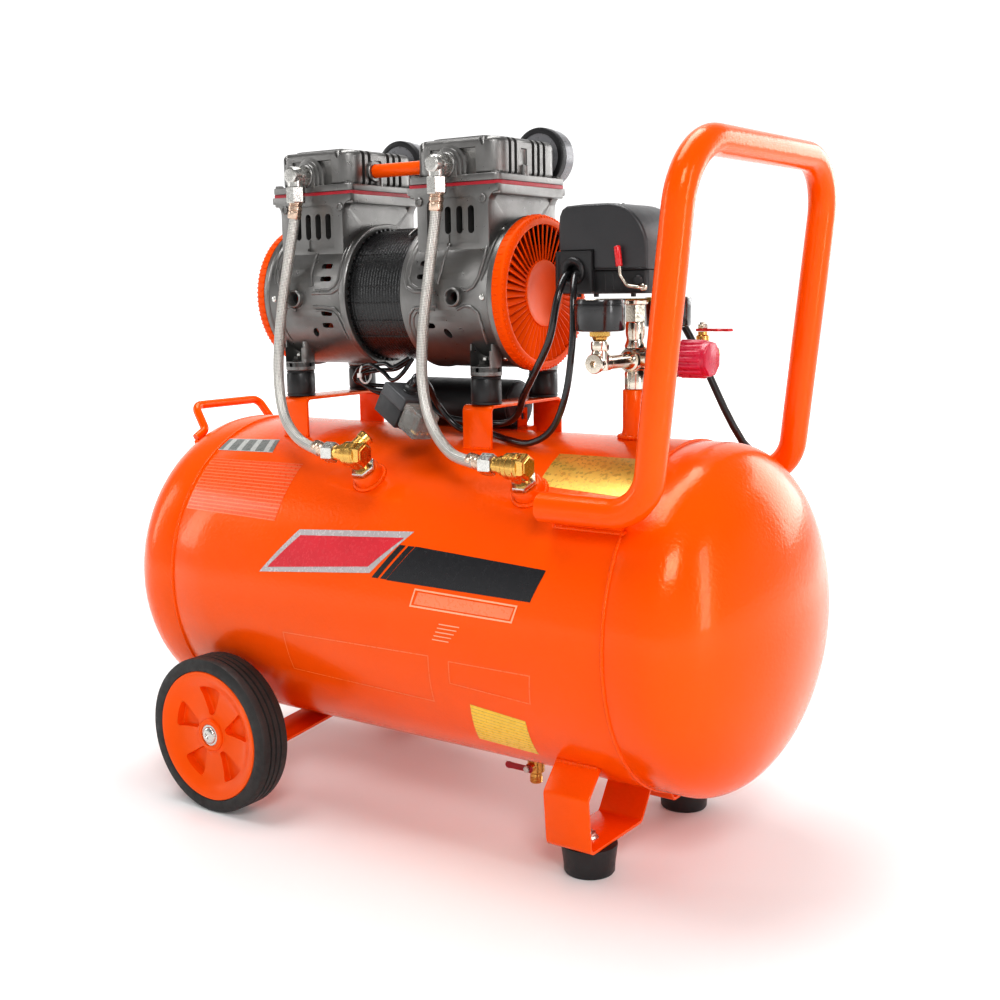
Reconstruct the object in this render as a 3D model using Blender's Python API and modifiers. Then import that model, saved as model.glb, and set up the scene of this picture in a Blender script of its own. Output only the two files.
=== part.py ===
"""Twin stack compressor: a 50 litre oil-free air compressor with two cylinder heads on one motor.

World frame, metres: the floor is z = 0, the tank's axis runs along X above the origin, +X is the
end with the large handle, -Y is the front with the check valves, and +Z is up.
"""
import math

import bmesh
import bpy
from mathutils import Matrix, Vector

for old in list(bpy.data.objects):
    bpy.data.objects.remove(old, do_unlink=True)

# ---- driving dimensions ----
GAP = 0.0003             # left between pieces that touch

TANK_R = 0.155           # outer radius of the shell
TANK_Z = 0.2174          # height of the tank's axis
TANK_HALF = 0.2505       # half the length of the cylinder, to the weld seams
TANK_FLANGE = 0.027      # straight part of each dome
TANK_DOME = 0.079        # depth of each dome's ellipse
TANK_WALL = 0.003

WHEEL_X = -0.183
TYRE_R = 0.0774
RIM_R = 0.0649
WHEEL_OUT = 0.181        # the wheel's outer face, from the middle plane
WHEEL_W = 0.035
AXLE_R = 0.006
STRIP_T = 0.003          # steel strip of brackets and stands

FOOT_X = 0.198
FOOT_Y = 0.089
FOOT_H = 0.0270

PUMP_X = -0.051          # middle of the motor
PUMP_Z = 0.5004          # height of the motor's axis
HEAD_S = 0.086           # from the motor's middle to each cylinder
BELL_IN = 0.034          # the crankcase's inner and outer ends, from the motor's middle
BELL_OUT = 0.139
BELL_R = 0.068
CAVITY_R = 0.0628
WALL_S = 0.0525          # the bearing wall's inner face, from the motor's middle
STATOR_R = 0.0625
STATOR_HALF = 0.045
MOUNT_S = 0.1155         # rubber mounts, from the motor's middle
MOUNT_Y = 0.047
MOUNT_R = 0.0142
MOUNT_H = 0.0252
STAND_S = 0.113
STAND_TOP = 0.401
STAND_Y = 0.058
STAND_W = 0.032
DECK_Z = 0.5975          # top of the cylinder block, under the gasket
GASKET_T = 0.0022
HEAD_TOP = 0.6413
THROW = 0.0075           # crank radius, half the stroke
ROD_L = 0.086            # crank pin to piston crown
BORE_R = 0.034
PISTON_R = 0.026
SHAFT_R = 0.0075
ECCENTRIC_R = 0.0158

BUNG_ANGLE = math.radians(41.5)   # the check valves' bungs, forward of the tank's top
BUNG_X = {"left": -0.0300, "right": 0.1490}
VALVE_OUT = 0.188        # the check valves' middles, from the tank's axis
RISER_X = 0.193
CROSS_Z = 0.4425         # height of the manifold's cross
GAUGE_Y = 0.060
DRAIN_X = 0.083

SWITCH_Z = 0.4995        # bottom of the pressure switch
CORD_R = 0.0035
COIL_TURN_R = 0.0385     # middle radius of the coiled length
COIL_W = 4 * CORD_R      # two turns side by side
COIL_H = 0.0217          # three layers of turns

model = bpy.data.collections.new("twin_stack_compressor")
tools = bpy.data.collections.new("cutters")
bpy.context.scene.collection.children.link(model)
bpy.context.scene.collection.children.link(tools)


def paint(name, colour, roughness, metallic=0.0):
    """A plain Principled material."""
    material = bpy.data.materials.new(name)
    material.use_nodes = True
    shader = material.node_tree.nodes["Principled BSDF"]
    shader.inputs["Base Color"].default_value = (*colour, 1.0)
    shader.inputs["Roughness"].default_value = roughness
    shader.inputs["Metallic"].default_value = metallic
    return material


ORANGE = paint("orange_enamel", (0.90, 0.13, 0.01), 0.30)
ORANGE_PLASTIC = paint("orange_plastic", (0.93, 0.12, 0.01), 0.40)
CAST = paint("cast_aluminium", (0.24, 0.23, 0.22), 0.45, 0.7)
BLACK = paint("black_plastic", (0.02, 0.02, 0.022), 0.45)
RUBBER = paint("black_rubber", (0.018, 0.018, 0.018), 0.75)
LAMINATION = paint("dark_lamination", (0.02, 0.02, 0.02), 0.6, 0.3)
BRASS = paint("brass", (0.75, 0.52, 0.20), 0.28, 1.0)
NICKEL = paint("nickel_plate", (0.62, 0.58, 0.52), 0.22, 1.0)
STEEL = paint("zinc_steel", (0.70, 0.70, 0.70), 0.25, 1.0)
BRAID = paint("braided_steel", (0.66, 0.65, 0.62), 0.35, 1.0)
CRIMSON = paint("crimson_plastic", (0.55, 0.01, 0.04), 0.35)
GREY_PLASTIC = paint("grey_plastic", (0.30, 0.30, 0.31), 0.40)


def register(item, material):
    """Put an object in the model's collection with its material."""
    model.objects.link(item)
    item.data.materials.append(material)
    return item


def smooth(item, angle=35.0):
    """Shade a mesh smooth except at its sharp edges."""
    item.data.shade_smooth()
    item.data.set_sharp_from_angle(angle=math.radians(angle))
    return item


def block(name, low, high, material, bevel=0.0, segments=2):
    """A box between two corners, its edges rounded by a bevel."""
    low, high = Vector(low), Vector(high)
    mesh = bpy.data.meshes.new(name)
    form = bmesh.new()
    bmesh.ops.create_cube(form, size=1.0)
    bmesh.ops.scale(form, vec=high - low, verts=form.verts)
    form.to_mesh(mesh)
    form.free()
    item = bpy.data.objects.new(name, mesh)
    item.location = (low + high) / 2
    if bevel:
        edge = item.modifiers.new("edges", "BEVEL")
        edge.width = bevel
        edge.segments = segments
        edge.limit_method = "ANGLE"
    return register(item, material)


def rod(name, start, end, radius, material, sides=24, end_radius=None):
    """A round bar, hexagon or cone from start to end."""
    start, end = Vector(start), Vector(end)
    mesh = bpy.data.meshes.new(name)
    form = bmesh.new()
    top = radius if end_radius is None else end_radius
    span = end - start
    bmesh.ops.create_cone(form, cap_ends=True, segments=sides, radius1=radius, radius2=top, depth=span.length)
    form.to_mesh(mesh)
    form.free()
    item = bpy.data.objects.new(name, mesh)
    item.location = (start + end) / 2
    item.rotation_mode = "QUATERNION"
    item.rotation_quaternion = span.to_track_quat("Z", "Y")
    return smooth(register(item, material))


TURN = {"X": (0, math.pi / 2, 0), "-X": (0, -math.pi / 2, 0), "Y": (-math.pi / 2, 0, 0),
        "-Y": (math.pi / 2, 0, 0), "Z": (0, 0, 0)}


def turned(name, profile, centre, axis, material, steps=32, ring=False):
    """A turned shape: (radius, height) points down its outer side, height along the axis."""
    mesh = bpy.data.meshes.new(name)
    count = len(profile)
    edges = [(i, i + 1) for i in range(count - 1)]
    if ring:
        edges.append((count - 1, 0))
    mesh.from_pydata([(r, 0.0, h) for r, h in profile], edges, [])
    item = bpy.data.objects.new(name, mesh)
    item.location = centre
    item.rotation_euler = TURN[axis]
    screw = item.modifiers.new("turn", "SCREW")
    screw.steps = steps
    screw.render_steps = steps
    screw.use_merge_vertices = True
    screw.merge_threshold = 0.00001
    screw.use_smooth_shade = True
    return register(item, material)


def strip(name, path, middle_x, width, material):
    """Bent flat strip: a path in the YZ plane, swept along X and given its thickness."""
    mesh = bpy.data.meshes.new(name)
    half = width / 2
    count = len(path)
    verts = [(x, y, z) for x in (-half, half) for y, z in path]
    faces = [(i, i + 1, count + i + 1, count + i) for i in range(count - 1)]
    mesh.from_pydata(verts, [], faces)
    item = bpy.data.objects.new(name, mesh)
    item.location = (middle_x, 0, 0)
    wall = item.modifiers.new("wall", "SOLIDIFY")
    wall.thickness = STRIP_T
    wall.offset = 0.0
    wall.use_even_offset = True
    return register(item, material)


def bent(points, radius, steps=5):
    """Points along straight runs with each inner corner rounded to a radius."""
    points = [Vector(p) for p in points]
    radii = radius if isinstance(radius, (list, tuple)) else [radius] * (len(points) - 2)
    path = [points[0]]
    for before, corner, after, r in zip(points, points[1:], points[2:], radii):
        u = (before - corner).normalized()
        v = (after - corner).normalized()
        half = u.angle(v) / 2
        centre = corner + (u + v).normalized() * (r / math.sin(half))
        first = corner + u * (r / math.tan(half)) - centre
        last = corner + v * (r / math.tan(half)) - centre
        sweep = first.angle(last)
        for i in range(steps + 1):
            t = i / steps
            arm = (first * math.sin((1 - t) * sweep) + last * math.sin(t * sweep)) / math.sin(sweep)
            path.append(centre + arm)
    path.append(points[-1])
    return path


def flowing(points, count):
    """A smooth curve through the route's own points, read at even steps of its length."""
    points = [Vector(p) for p in points]
    ends = [2 * points[0] - points[1]] + points + [2 * points[-1] - points[-2]]
    fine = []
    for a, b, c, d in zip(ends, ends[1:], ends[2:], ends[3:]):
        for i in range(24):
            t = i / 24
            fine.append(0.5 * (2 * b + (c - a) * t + (2 * a - 5 * b + 4 * c - d) * t * t
                               + (3 * b - a - 3 * c + d) * t ** 3))
    fine.append(points[-1])
    lengths = [0.0]
    for a, b in zip(fine, fine[1:]):
        lengths.append(lengths[-1] + (b - a).length)
    path = []
    k = 0
    for i in range(count):
        goal = lengths[-1] * i / (count - 1)
        while k < len(fine) - 2 and lengths[k + 1] < goal:
            k += 1
        share = (goal - lengths[k]) / (lengths[k + 1] - lengths[k])
        path.append(fine[k].lerp(fine[k + 1], min(1.0, share)))
    return path


def tube(name, path, radius, material, resolution=2):
    """A round bar or hose along a path, with flat ends."""
    data = bpy.data.curves.new(name, "CURVE")
    data.dimensions = "3D"
    data.bevel_depth = radius
    data.bevel_resolution = resolution
    data.use_fill_caps = True
    spline = data.splines.new("POLY")
    spline.points.add(len(path) - 1)
    for point, place in zip(spline.points, path):
        point.co = (*place, 1.0)
    return register(bpy.data.objects.new(name, data), material)


def plate(name, loops, thickness, matrix, material):
    """A flat outline, with any holes, extruded to a thickness."""
    data = bpy.data.curves.new(name, "CURVE")
    data.dimensions = "2D"
    data.fill_mode = "BOTH"
    data.extrude = thickness / 2
    for loop in loops:
        spline = data.splines.new("POLY")
        spline.points.add(len(loop) - 1)
        spline.use_cyclic_u = True
        for point, place in zip(spline.points, loop):
            point.co = (place[0], place[1], 0.0, 1.0)
    item = bpy.data.objects.new(name, data)
    item.matrix_world = matrix
    return register(item, material)


def meshed(curve):
    """The curve's own shape as a closed mesh, in the same place."""
    bpy.context.view_layer.update()
    graph = bpy.context.evaluated_depsgraph_get()
    mesh = bpy.data.meshes.new_from_object(curve.evaluated_get(graph))
    form = bmesh.new()
    form.from_mesh(mesh)
    bmesh.ops.remove_doubles(form, verts=form.verts, dist=0.00001)
    bmesh.ops.recalc_face_normals(form, faces=form.faces)
    form.to_mesh(mesh)
    form.free()
    place = curve.matrix_world.copy()
    name = curve.name
    bpy.data.objects.remove(curve, do_unlink=True)
    item = bpy.data.objects.new(name, mesh)
    item.matrix_world = place
    model.objects.link(item)
    return item


def combine(target, piece, operation):
    """Join a piece to the target, or cut it away, with a Boolean."""
    model.objects.unlink(piece)
    tools.objects.link(piece)
    piece.hide_render = True
    piece.display_type = "WIRE"
    step = target.modifiers.new(piece.name, "BOOLEAN")
    step.operation = operation
    step.object = piece
    return target


def fuse(target, *pieces):
    for piece in pieces:
        combine(target, piece, "UNION")
    return target


def cut(target, *pieces):
    for piece in pieces:
        combine(target, piece, "DIFFERENCE")
    return target


def arc(radius, start, end, steps, centre=(0.0, 0.0)):
    """Points on an arc, angles in degrees."""
    points = []
    for i in range(steps + 1):
        angle = math.radians(start + (end - start) * i / steps)
        points.append((centre[0] + radius * math.cos(angle), centre[1] + radius * math.sin(angle)))
    return points


def around_tank(distance, angle, x):
    """The point at a distance from the tank's axis, the angle measured forward from the top."""
    return Vector((x, -distance * math.sin(angle), TANK_Z + distance * math.cos(angle)))


def tank_trim(name):
    """The tank's own outline with the gap, to trim what stands on it."""
    reach = TANK_HALF + TANK_FLANGE
    return rod(name, (-reach, 0, TANK_Z), (reach, 0, TANK_Z), TANK_R + GAP, STEEL, sides=96)


# ---- tank, welded from a rolled cylinder and two pressed domes ----
def tank_profile():
    """Half section of the tank's outside, pole to pole."""
    reach = TANK_HALF + TANK_FLANGE
    half = [(TANK_R * math.sin(t), reach + TANK_DOME * math.cos(t))
            for t in (math.radians(18 * i) for i in range(6))]
    half[0] = (0.0, reach + TANK_DOME)
    return half + [(r, -h) for r, h in reversed(half)]


tank = turned("tank_shell", tank_profile(), (0, 0, TANK_Z), "X", ORANGE, steps=32)
wall = tank.modifiers.new("wall", "SOLIDIFY")
wall.thickness = TANK_WALL
wall.offset = -1.0
for side, x in BUNG_X.items():
    fuse(tank, rod(f"bung_{side}", around_tank(0.1535, BUNG_ANGLE, x), around_tank(0.1665, BUNG_ANGLE, x),
                   0.0140, ORANGE, sides=20))
    cut(tank, rod(f"bung_bore_{side}", around_tank(0.140, BUNG_ANGLE, x), around_tank(0.170, BUNG_ANGLE, x),
                  0.0085, ORANGE, sides=16))
fuse(tank, rod("riser", (RISER_X, 0, 0.3708), (RISER_X, 0, 0.4155), 0.0110, ORANGE, sides=20))
cut(tank, rod("riser_bore", (RISER_X, 0, 0.360), (RISER_X, 0, 0.420), 0.0070, ORANGE, sides=16))
fuse(tank, rod("drain_boss", (DRAIN_X, 0, 0.0640), (DRAIN_X, 0, 0.0570), 0.0105, ORANGE, sides=16))
cut(tank, rod("drain_bore", (DRAIN_X, 0, 0.0700), (DRAIN_X, 0, 0.0500), 0.0052, ORANGE, sides=12))

# ---- handles, both welded to the tank ----
HANDLE_R = 0.0125
HANDLE_Y = 0.138
HANDLE_FOOT_Z = 0.3291
HANDLE_TOP = 0.6146
HANDLE_LEAN = math.atan2(HANDLE_Y, HANDLE_FOOT_Z - TANK_Z)


def handle_path():
    """Round one leg, over the crossbar and down the other leg."""
    side = [(0.183, -HANDLE_Y, HANDLE_FOOT_Z), (0.2807, -HANDLE_Y, HANDLE_FOOT_Z), (0.3122, -HANDLE_Y, HANDLE_TOP)]
    points = side + [(x, -y, z) for x, y, z in reversed(side)]
    return bent(points, [0.036, 0.052, 0.052, 0.036], steps=7)


main_handle = meshed(tube("main_handle", handle_path(), HANDLE_R, ORANGE, resolution=3))
for sign, place in ((-1, "front"), (1, "rear")):
    saddle = block(f"saddle_{place}", (0.188, -0.0045, -0.0130), (0.252, 0.0045, 0.0130), ORANGE)
    middle = around_tank(0.1640, -sign * HANDLE_LEAN, 0.220)
    saddle.location = middle
    saddle.rotation_euler = (-sign * HANDLE_LEAN, 0, 0)
    fuse(main_handle, cut(saddle, tank_trim(f"saddle_trim_{place}")))
smooth(main_handle)


def small_handle_path():
    side = [(-0.3065, -0.0640, 0.3525), (-0.3060, -0.0510, 0.3600), (-0.3250, -0.0470, 0.3850)]
    points = side + [(x, -y, z) for x, y, z in reversed(side)]
    return bent(points, [0.007, 0.010, 0.010, 0.007], steps=4)


tube("small_handle", small_handle_path(), 0.0045, ORANGE, resolution=2)

# ---- rear wheels: bracket, axle bolt, rim and tyre on each side ----
BRACKET_Y = 0.1335
BRACKET_W = 0.042
PETAL = 0.0115           # the petals' faces, outward from the wheel's middle plane
RECESS = 0.0025          # floors of the recesses between them
WEB_BACK = -0.0015
PETAL_TIP = 0.0495


def rim_profile():
    """Section of the rim, from the hub's outer end over the petals and lip, and back along the bore."""
    half = WHEEL_W / 2
    return [(0.0135, half - 0.003), (0.0165, half - 0.005), (0.0170, PETAL), (PETAL_TIP, PETAL),
            (0.0570, half - 0.0015), (RIM_R - 0.002, half), (RIM_R - GAP, half - 0.002),
            (RIM_R - GAP, 0.002 - half), (RIM_R - 0.002, -half), (0.0570, 0.0015 - half),
            (0.0520, WEB_BACK), (0.0175, WEB_BACK), (0.0160, 0.001 - half), (0.0135, 0.001 - half),
            (AXLE_R + 0.0005, 0.001 - half), (AXLE_R + 0.0005, half - 0.003)]


def tyre_profile():
    """Section of the solid tyre, its tread edges chamfered."""
    half = WHEEL_W / 2
    outer = [(RIM_R, half - 0.0005), (TYRE_R - 0.003, half - 0.0005), (TYRE_R, half - 0.0035)]
    return outer + [(r, -h) for r, h in reversed(outer)]


def recess(name, angle, middle, sign):
    """Wedge-shaped cutter for the blind recess between two petals."""
    depth = 0.012
    inner = arc(0.0190, -14, 14, 2)
    outer = arc(PETAL_TIP - 0.0002, 18.5, -18.5, 2)
    turn = Matrix.Rotation(math.radians(angle), 4, "Z")
    flat = Matrix.Rotation(math.pi / 2, 4, "X")
    place = Matrix.Translation(Vector(middle) + Vector((0, sign * (RECESS + depth / 2), 0)))
    return meshed(plate(name, [inner + outer], depth, place @ flat @ turn, ORANGE_PLASTIC))


for sign, place in ((-1, "front"), (1, "rear")):
    flange = sign * BRACKET_Y
    path = [(0, flange, 0.150), (0, flange, 0.0470), (0, sign * 0.012, 0.0600)]
    bracket = strip(f"wheel_bracket_{place}", [(p.y, p.z) for p in bent(path, 0.008, steps=4)],
                    WHEEL_X, BRACKET_W, ORANGE)
    cut(bracket, tank_trim(f"wheel_bracket_trim_{place}"),
        rod(f"axle_hole_{place}", (WHEEL_X, flange - 0.01, TYRE_R), (WHEEL_X, flange + 0.01, TYRE_R),
            AXLE_R + GAP, ORANGE))
    middle = (WHEEL_X, sign * (WHEEL_OUT - WHEEL_W / 2), TYRE_R)
    outward = "Y" if sign > 0 else "-Y"
    half = WHEEL_W / 2
    inside = BRACKET_Y - STRIP_T / 2 - (WHEEL_OUT - half)
    spacer = BRACKET_Y + STRIP_T / 2 + GAP - (WHEEL_OUT - half)
    turned(f"axle_{place}",
           [(0.0, half - 0.0004), (0.0080, half - 0.0010), (0.0105, half - 0.0026), (AXLE_R, half - 0.0026),
            (AXLE_R, 0.0004 - half), (0.0095, 0.0004 - half), (0.0095, spacer), (AXLE_R, spacer),
            (AXLE_R, inside - 0.0003), (0.0100, inside - 0.0003), (0.0100, inside - 0.0080), (0.0, inside - 0.0080)],
           middle, outward, STEEL, steps=14)
    rim = turned(f"wheel_rim_{place}", rim_profile(), middle, outward, ORANGE_PLASTIC, steps=28, ring=True)
    for i in range(5):
        cut(rim, recess(f"recess_{place}_{i}", 17.7 + 72 * i, middle, sign))
    turned(f"tyre_{place}", tyre_profile(), middle, outward, RUBBER, steps=36, ring=True)

# ---- front feet: bent bracket and rubber foot on each side ----
for sign, place in ((-1, "front"), (1, "rear")):
    path = [(0, sign * 0.1020, 0.1150), (0, sign * 0.1225, 0.0780), (0, sign * 0.1180, 0.0290),
            (0, sign * 0.0310, 0.0290), (0, sign * 0.0050, 0.0690)]
    bracket = strip(f"foot_bracket_{place}", [(p.y, p.z) for p in bent(path, 0.006, steps=3)],
                    0.1955, 0.045, ORANGE)
    cut(bracket, tank_trim(f"foot_bracket_trim_{place}"))
    turned(f"rubber_foot_{place}", [(0.0, FOOT_H), (0.0250, FOOT_H), (0.0215, 0.0), (0.0, 0.0)],
           (FOOT_X, sign * FOOT_Y, 0), "Z", RUBBER, steps=32)

# ---- drain valve under the tank ----
drain = rod("drain_valve", (DRAIN_X, 0, 0.0568), (DRAIN_X, 0, 0.0360), 0.0085, BRASS, sides=12)
fuse(drain, rod("drain_thread", (DRAIN_X, 0, 0.0660), (DRAIN_X, 0, 0.0560), 0.0048, BRASS, sides=10),
     rod("drain_outlet", (DRAIN_X, 0, 0.0370), (DRAIN_X, 0, 0.0280), 0.0060, BRASS, sides=12),
     rod("drain_stem", (DRAIN_X, 0, 0.0460), (DRAIN_X, -0.0130, 0.0460), 0.0045, BRASS, sides=10))
block("drain_lever", (DRAIN_X - 0.026, -0.0158, 0.0430), (DRAIN_X + 0.0055, -0.0133, 0.0490), CRIMSON, 0.0008)

# ---- pump stands and rubber mounts ----
for side, sign in (("left", -1), ("right", 1)):
    top = STAND_TOP - STRIP_T / 2
    path = [(0, -STAND_Y, 0.335), (0, -STAND_Y, top), (0, STAND_Y, top), (0, STAND_Y, 0.335)]
    stand = strip(f"pump_stand_{side}", [(p.y, p.z) for p in bent(path, 0.005, steps=4)],
                  PUMP_X + sign * STAND_S, STAND_W, ORANGE)
    cut(stand, tank_trim(f"pump_stand_trim_{side}"))
    for y, place in ((-MOUNT_Y, "front"), (MOUNT_Y, "rear")):
        low = STAND_TOP + GAP
        rim = MOUNT_R - 0.001
        turned(f"rubber_mount_{side}_{place}",
               [(0.0, MOUNT_H), (rim, MOUNT_H), (MOUNT_R, MOUNT_H - 0.001), (MOUNT_R, 0.001), (rim, 0.0), (0.0, 0.0)],
               (PUMP_X + sign * MOUNT_S, y, low), "Z", RUBBER, steps=20)


# ---- crankcases: bell, cylinder neck, mounting lugs and cooling slots ----
def along(sign, distance):
    """The X coordinate at a distance from the motor's middle."""
    return PUMP_X + sign * distance


def crankcase(side, sign):
    """Cast bell with its bearing wall, and the square neck that carries the cylinder's deck."""
    head_x = along(sign, HEAD_S)
    outward = "X" if sign > 0 else "-X"
    bell = turned(f"crankcase_{side}",
                  [(BELL_R + 0.0025, BELL_OUT), (BELL_R + 0.0025, BELL_OUT - 0.005), (BELL_R, BELL_OUT - 0.007),
                   (BELL_R, BELL_IN), (CAVITY_R, BELL_IN), (CAVITY_R, WALL_S), (SHAFT_R + 0.0004, WALL_S),
                   (SHAFT_R + 0.0004, WALL_S + 0.005), (CAVITY_R, WALL_S + 0.005), (CAVITY_R, BELL_OUT)],
                  (PUMP_X, 0, PUMP_Z), outward, CAST, steps=28, ring=True)

    def trimmed(piece):
        """The piece without what would reach into the bell."""
        return cut(piece, rod(f"{piece.name}_trim", (along(sign, 0.0), 0, PUMP_Z), (along(sign, 0.16), 0, PUMP_Z),
                              BELL_R - 0.0022, CAST, sides=28))

    fuse(bell, trimmed(block(f"neck_{side}", (head_x - 0.040, -0.053, PUMP_Z + 0.012),
                             (head_x + 0.040, 0.053, 0.5890), CAST)),
         block(f"deck_{side}", (head_x - 0.0515, -0.054, 0.5850), (head_x + 0.0515, 0.054, DECK_Z), CAST))
    for y, place in ((-1, "front"), (1, "rear")):
        x = along(sign, MOUNT_S)
        low = STAND_TOP + GAP + MOUNT_H + GAP
        lows = (x - 0.014, min(y * 0.033, y * 0.0605), low)
        highs = (x + 0.014, max(y * 0.033, y * 0.0605), 0.4600)
        lug = block(f"lug_{side}_{place}", lows, highs, CAST)
        pocket_low = (x - 0.0108, min(y * 0.0375, y * 0.070), low + 0.009)
        pocket_high = (x + 0.0108, max(y * 0.0375, y * 0.070), 0.4700)
        fuse(bell, trimmed(cut(lug, block(f"pocket_{side}_{place}", pocket_low, pocket_high, CAST))))
    port = Vector((head_x + sign * 0.0110, -0.0620, PUMP_Z - 0.002))
    forward = Vector((0, -1, 0))
    fuse(bell, trimmed(rod(f"port_boss_{side}", port, port + forward * 0.0105, 0.0085, CAST, sides=12)))
    cut(bell, rod(f"port_hole_{side}", port - forward * 0.010, port + forward * 0.020, 0.0050, CAST, sides=8),
        rod(f"cylinder_bore_{side}", (head_x, 0, PUMP_Z + 0.010), (head_x, 0, 0.610), BORE_R, CAST, sides=24))
    for i in range(4):
        x = head_x + (i - 1.5) * 0.013
        cut(bell, block(f"neck_slot_{side}_{i}", (x - 0.0027, -0.060, 0.5610), (x + 0.0027, -0.0230, 0.5785), CAST))
    for i, z in enumerate((0.0290, 0.0170, -0.0165, -0.0275)):
        x = head_x - sign * 0.0250
        cut(bell, block(f"bell_slot_{side}_{i}", (x - 0.0065, -0.080, PUMP_Z + z - 0.002),
                        (x + 0.0065, -0.045, PUMP_Z + z + 0.002), CAST))
    return bell


# ---- what turns inside: shaft and rotor, fans, and the two connecting rods ----
rotor = rod("rotor_shaft", (along(-1, 0.1335), 0, PUMP_Z), (along(1, 0.1335), 0, PUMP_Z), SHAFT_R, STEEL, sides=16)
fuse(rotor, rod("rotor_core", (along(-1, 0.033), 0, PUMP_Z), (along(1, 0.033), 0, PUMP_Z), 0.034, STEEL, sides=24))


def fan(side, sign):
    """Paddle fan keyed on the shaft's end, beyond the crank."""
    blades = []
    for i in range(9):
        turn = 40 * i
        blades += arc(0.0240, turn - 14, turn + 8, 2)
        blades += arc(0.0575, turn + 12, turn + 22, 2)
    hole = arc(SHAFT_R + 2 * GAP, 0, 330, 11)
    flat = Matrix.Rotation(math.pi / 2, 4, "Y")
    place = Matrix.Translation((along(sign, 0.1200), 0, PUMP_Z))
    return meshed(plate(f"fan_{side}", [blades, hole], 0.020, place @ flat, ORANGE_PLASTIC))


def con_rod(side, sign, lift):
    """Wobble piston: ring on the crank, stem and piston disc in one piece."""
    x = along(sign, HEAD_S)
    pin = PUMP_Z + lift
    crown = pin + ROD_L
    ring = turned(f"con_rod_{side}", [(0.0225, 0.006), (0.0225, -0.006), (0.0163, -0.006), (0.0163, 0.006)],
                  (x, 0, pin), "X", CAST, steps=24, ring=True)
    stem = block(f"stem_{side}", (x - 0.0055, -0.0085, pin + 0.0190), (x + 0.0055, 0.0085, crown - 0.004), CAST)
    disc = rod(f"piston_{side}", (x, 0, crown - 0.009), (x, 0, crown), PISTON_R, CAST, sides=24)
    return fuse(ring, stem, disc)


for side, sign in (("left", -1), ("right", 1)):
    crankcase(side, sign)
    x = along(sign, HEAD_S)
    lift = THROW * sign
    fuse(rotor, rod(f"eccentric_{side}", (x - 0.0068, 0, PUMP_Z + lift), (x + 0.0068, 0, PUMP_Z + lift),
                    ECCENTRIC_R, STEEL, sides=24))
    fan(side, sign)
    con_rod(side, sign, lift)
    outward = "X" if sign > 0 else "-X"
    turned(f"fan_cover_{side}",
           [(0.0, 0.0105), (0.0300, 0.0105), (0.0660, 0.0118), (0.0690, 0.0105), (0.0705, 0.0078), (0.0705, GAP),
            (0.0680, GAP), (0.0680, 0.0078), (0.0300, 0.0080), (0.0, 0.0080)],
           (along(sign, BELL_OUT), 0, PUMP_Z), outward, ORANGE_PLASTIC, steps=28)

turned("motor_stator",
       [(STATOR_R, STATOR_HALF), (STATOR_R, -STATOR_HALF), (0.0346, -STATOR_HALF), (0.0346, STATOR_HALF)],
       (PUMP_X, 0, PUMP_Z), "X", LAMINATION, steps=28, ring=True)

# ---- cylinder heads with their intake filters, and the pipe between them ----
PORT_Z = 0.6155
ELBOW_Y = 0.0700
FILTER_S = 0.0200        # from the cylinder to the intake filter
FILTER_Z = 0.6280
PIPE_Y = -0.0150
PIPE_Z = 0.6195

for side, sign in (("left", -1), ("right", 1)):
    x = along(sign, HEAD_S)
    low = DECK_Z + GASKET_T
    head = block(f"head_{side}", (x - 0.0475, -0.050, low + 0.003), (x + 0.0475, 0.050, HEAD_TOP), CAST, 0.009, 2)
    boss = x - 0.005
    fuse(head, block(f"head_flange_{side}", (x - 0.0515, -0.056, low), (x + 0.0515, 0.056, low + 0.0065), CAST),
         rod(f"discharge_boss_{side}", (boss, -0.0400, PORT_Z), (boss, -0.0580, PORT_Z), 0.0105, CAST, sides=16),
         rod(f"filter_boss_{side}", (x + FILTER_S, 0.0400, FILTER_Z), (x + FILTER_S, 0.0562, FILTER_Z),
             0.0120, CAST, sides=16))
    inner = x - sign * 0.0475
    cut(head, rod(f"pipe_socket_{side}", (inner - sign * 0.01, PIPE_Y, PIPE_Z),
                  (inner + sign * 0.008, PIPE_Y, PIPE_Z), 0.0068, CAST, sides=16))
    turned(f"intake_filter_{side}",
           [(0.0, 0.0300), (0.0200, 0.0300), (0.0262, 0.0275), (0.0280, 0.0240), (0.0280, 0.0035), (0.0265, 0.0020),
            (0.0, 0.0020)],
           (x + FILTER_S, 0.0545, FILTER_Z), "Y", GREY_PLASTIC, steps=24)

pipe_reach = HEAD_S - 0.0475 + 0.0070
tube("crossover_pipe", [(along(-1, pipe_reach), PIPE_Y, PIPE_Z), (along(1, pipe_reach), PIPE_Y, PIPE_Z)],
     0.0065, ORANGE, resolution=4)


# ---- check valves on the tank and the braided hoses that feed them ----
def check_valve(side):
    """Brass body on its bung, with the hose's side inlet and a hexagon cap on the front."""
    x = BUNG_X[side]
    foot = around_tank(0.1668, BUNG_ANGLE, x)
    middle = around_tank(VALVE_OUT, BUNG_ANGLE, x)
    body = rod(f"check_valve_{side}", foot, around_tank(VALVE_OUT + 0.010, BUNG_ANGLE, x), 0.0118, BRASS, sides=12)
    fuse(body, rod(f"valve_thread_{side}", around_tank(0.1500, BUNG_ANGLE, x), foot + (middle - foot) * 0.3,
                   0.0082, BRASS),
         rod(f"valve_inlet_{side}", middle, middle - Vector((0.0210, 0, 0)), 0.0085, BRASS, sides=12))
    return body


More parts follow.
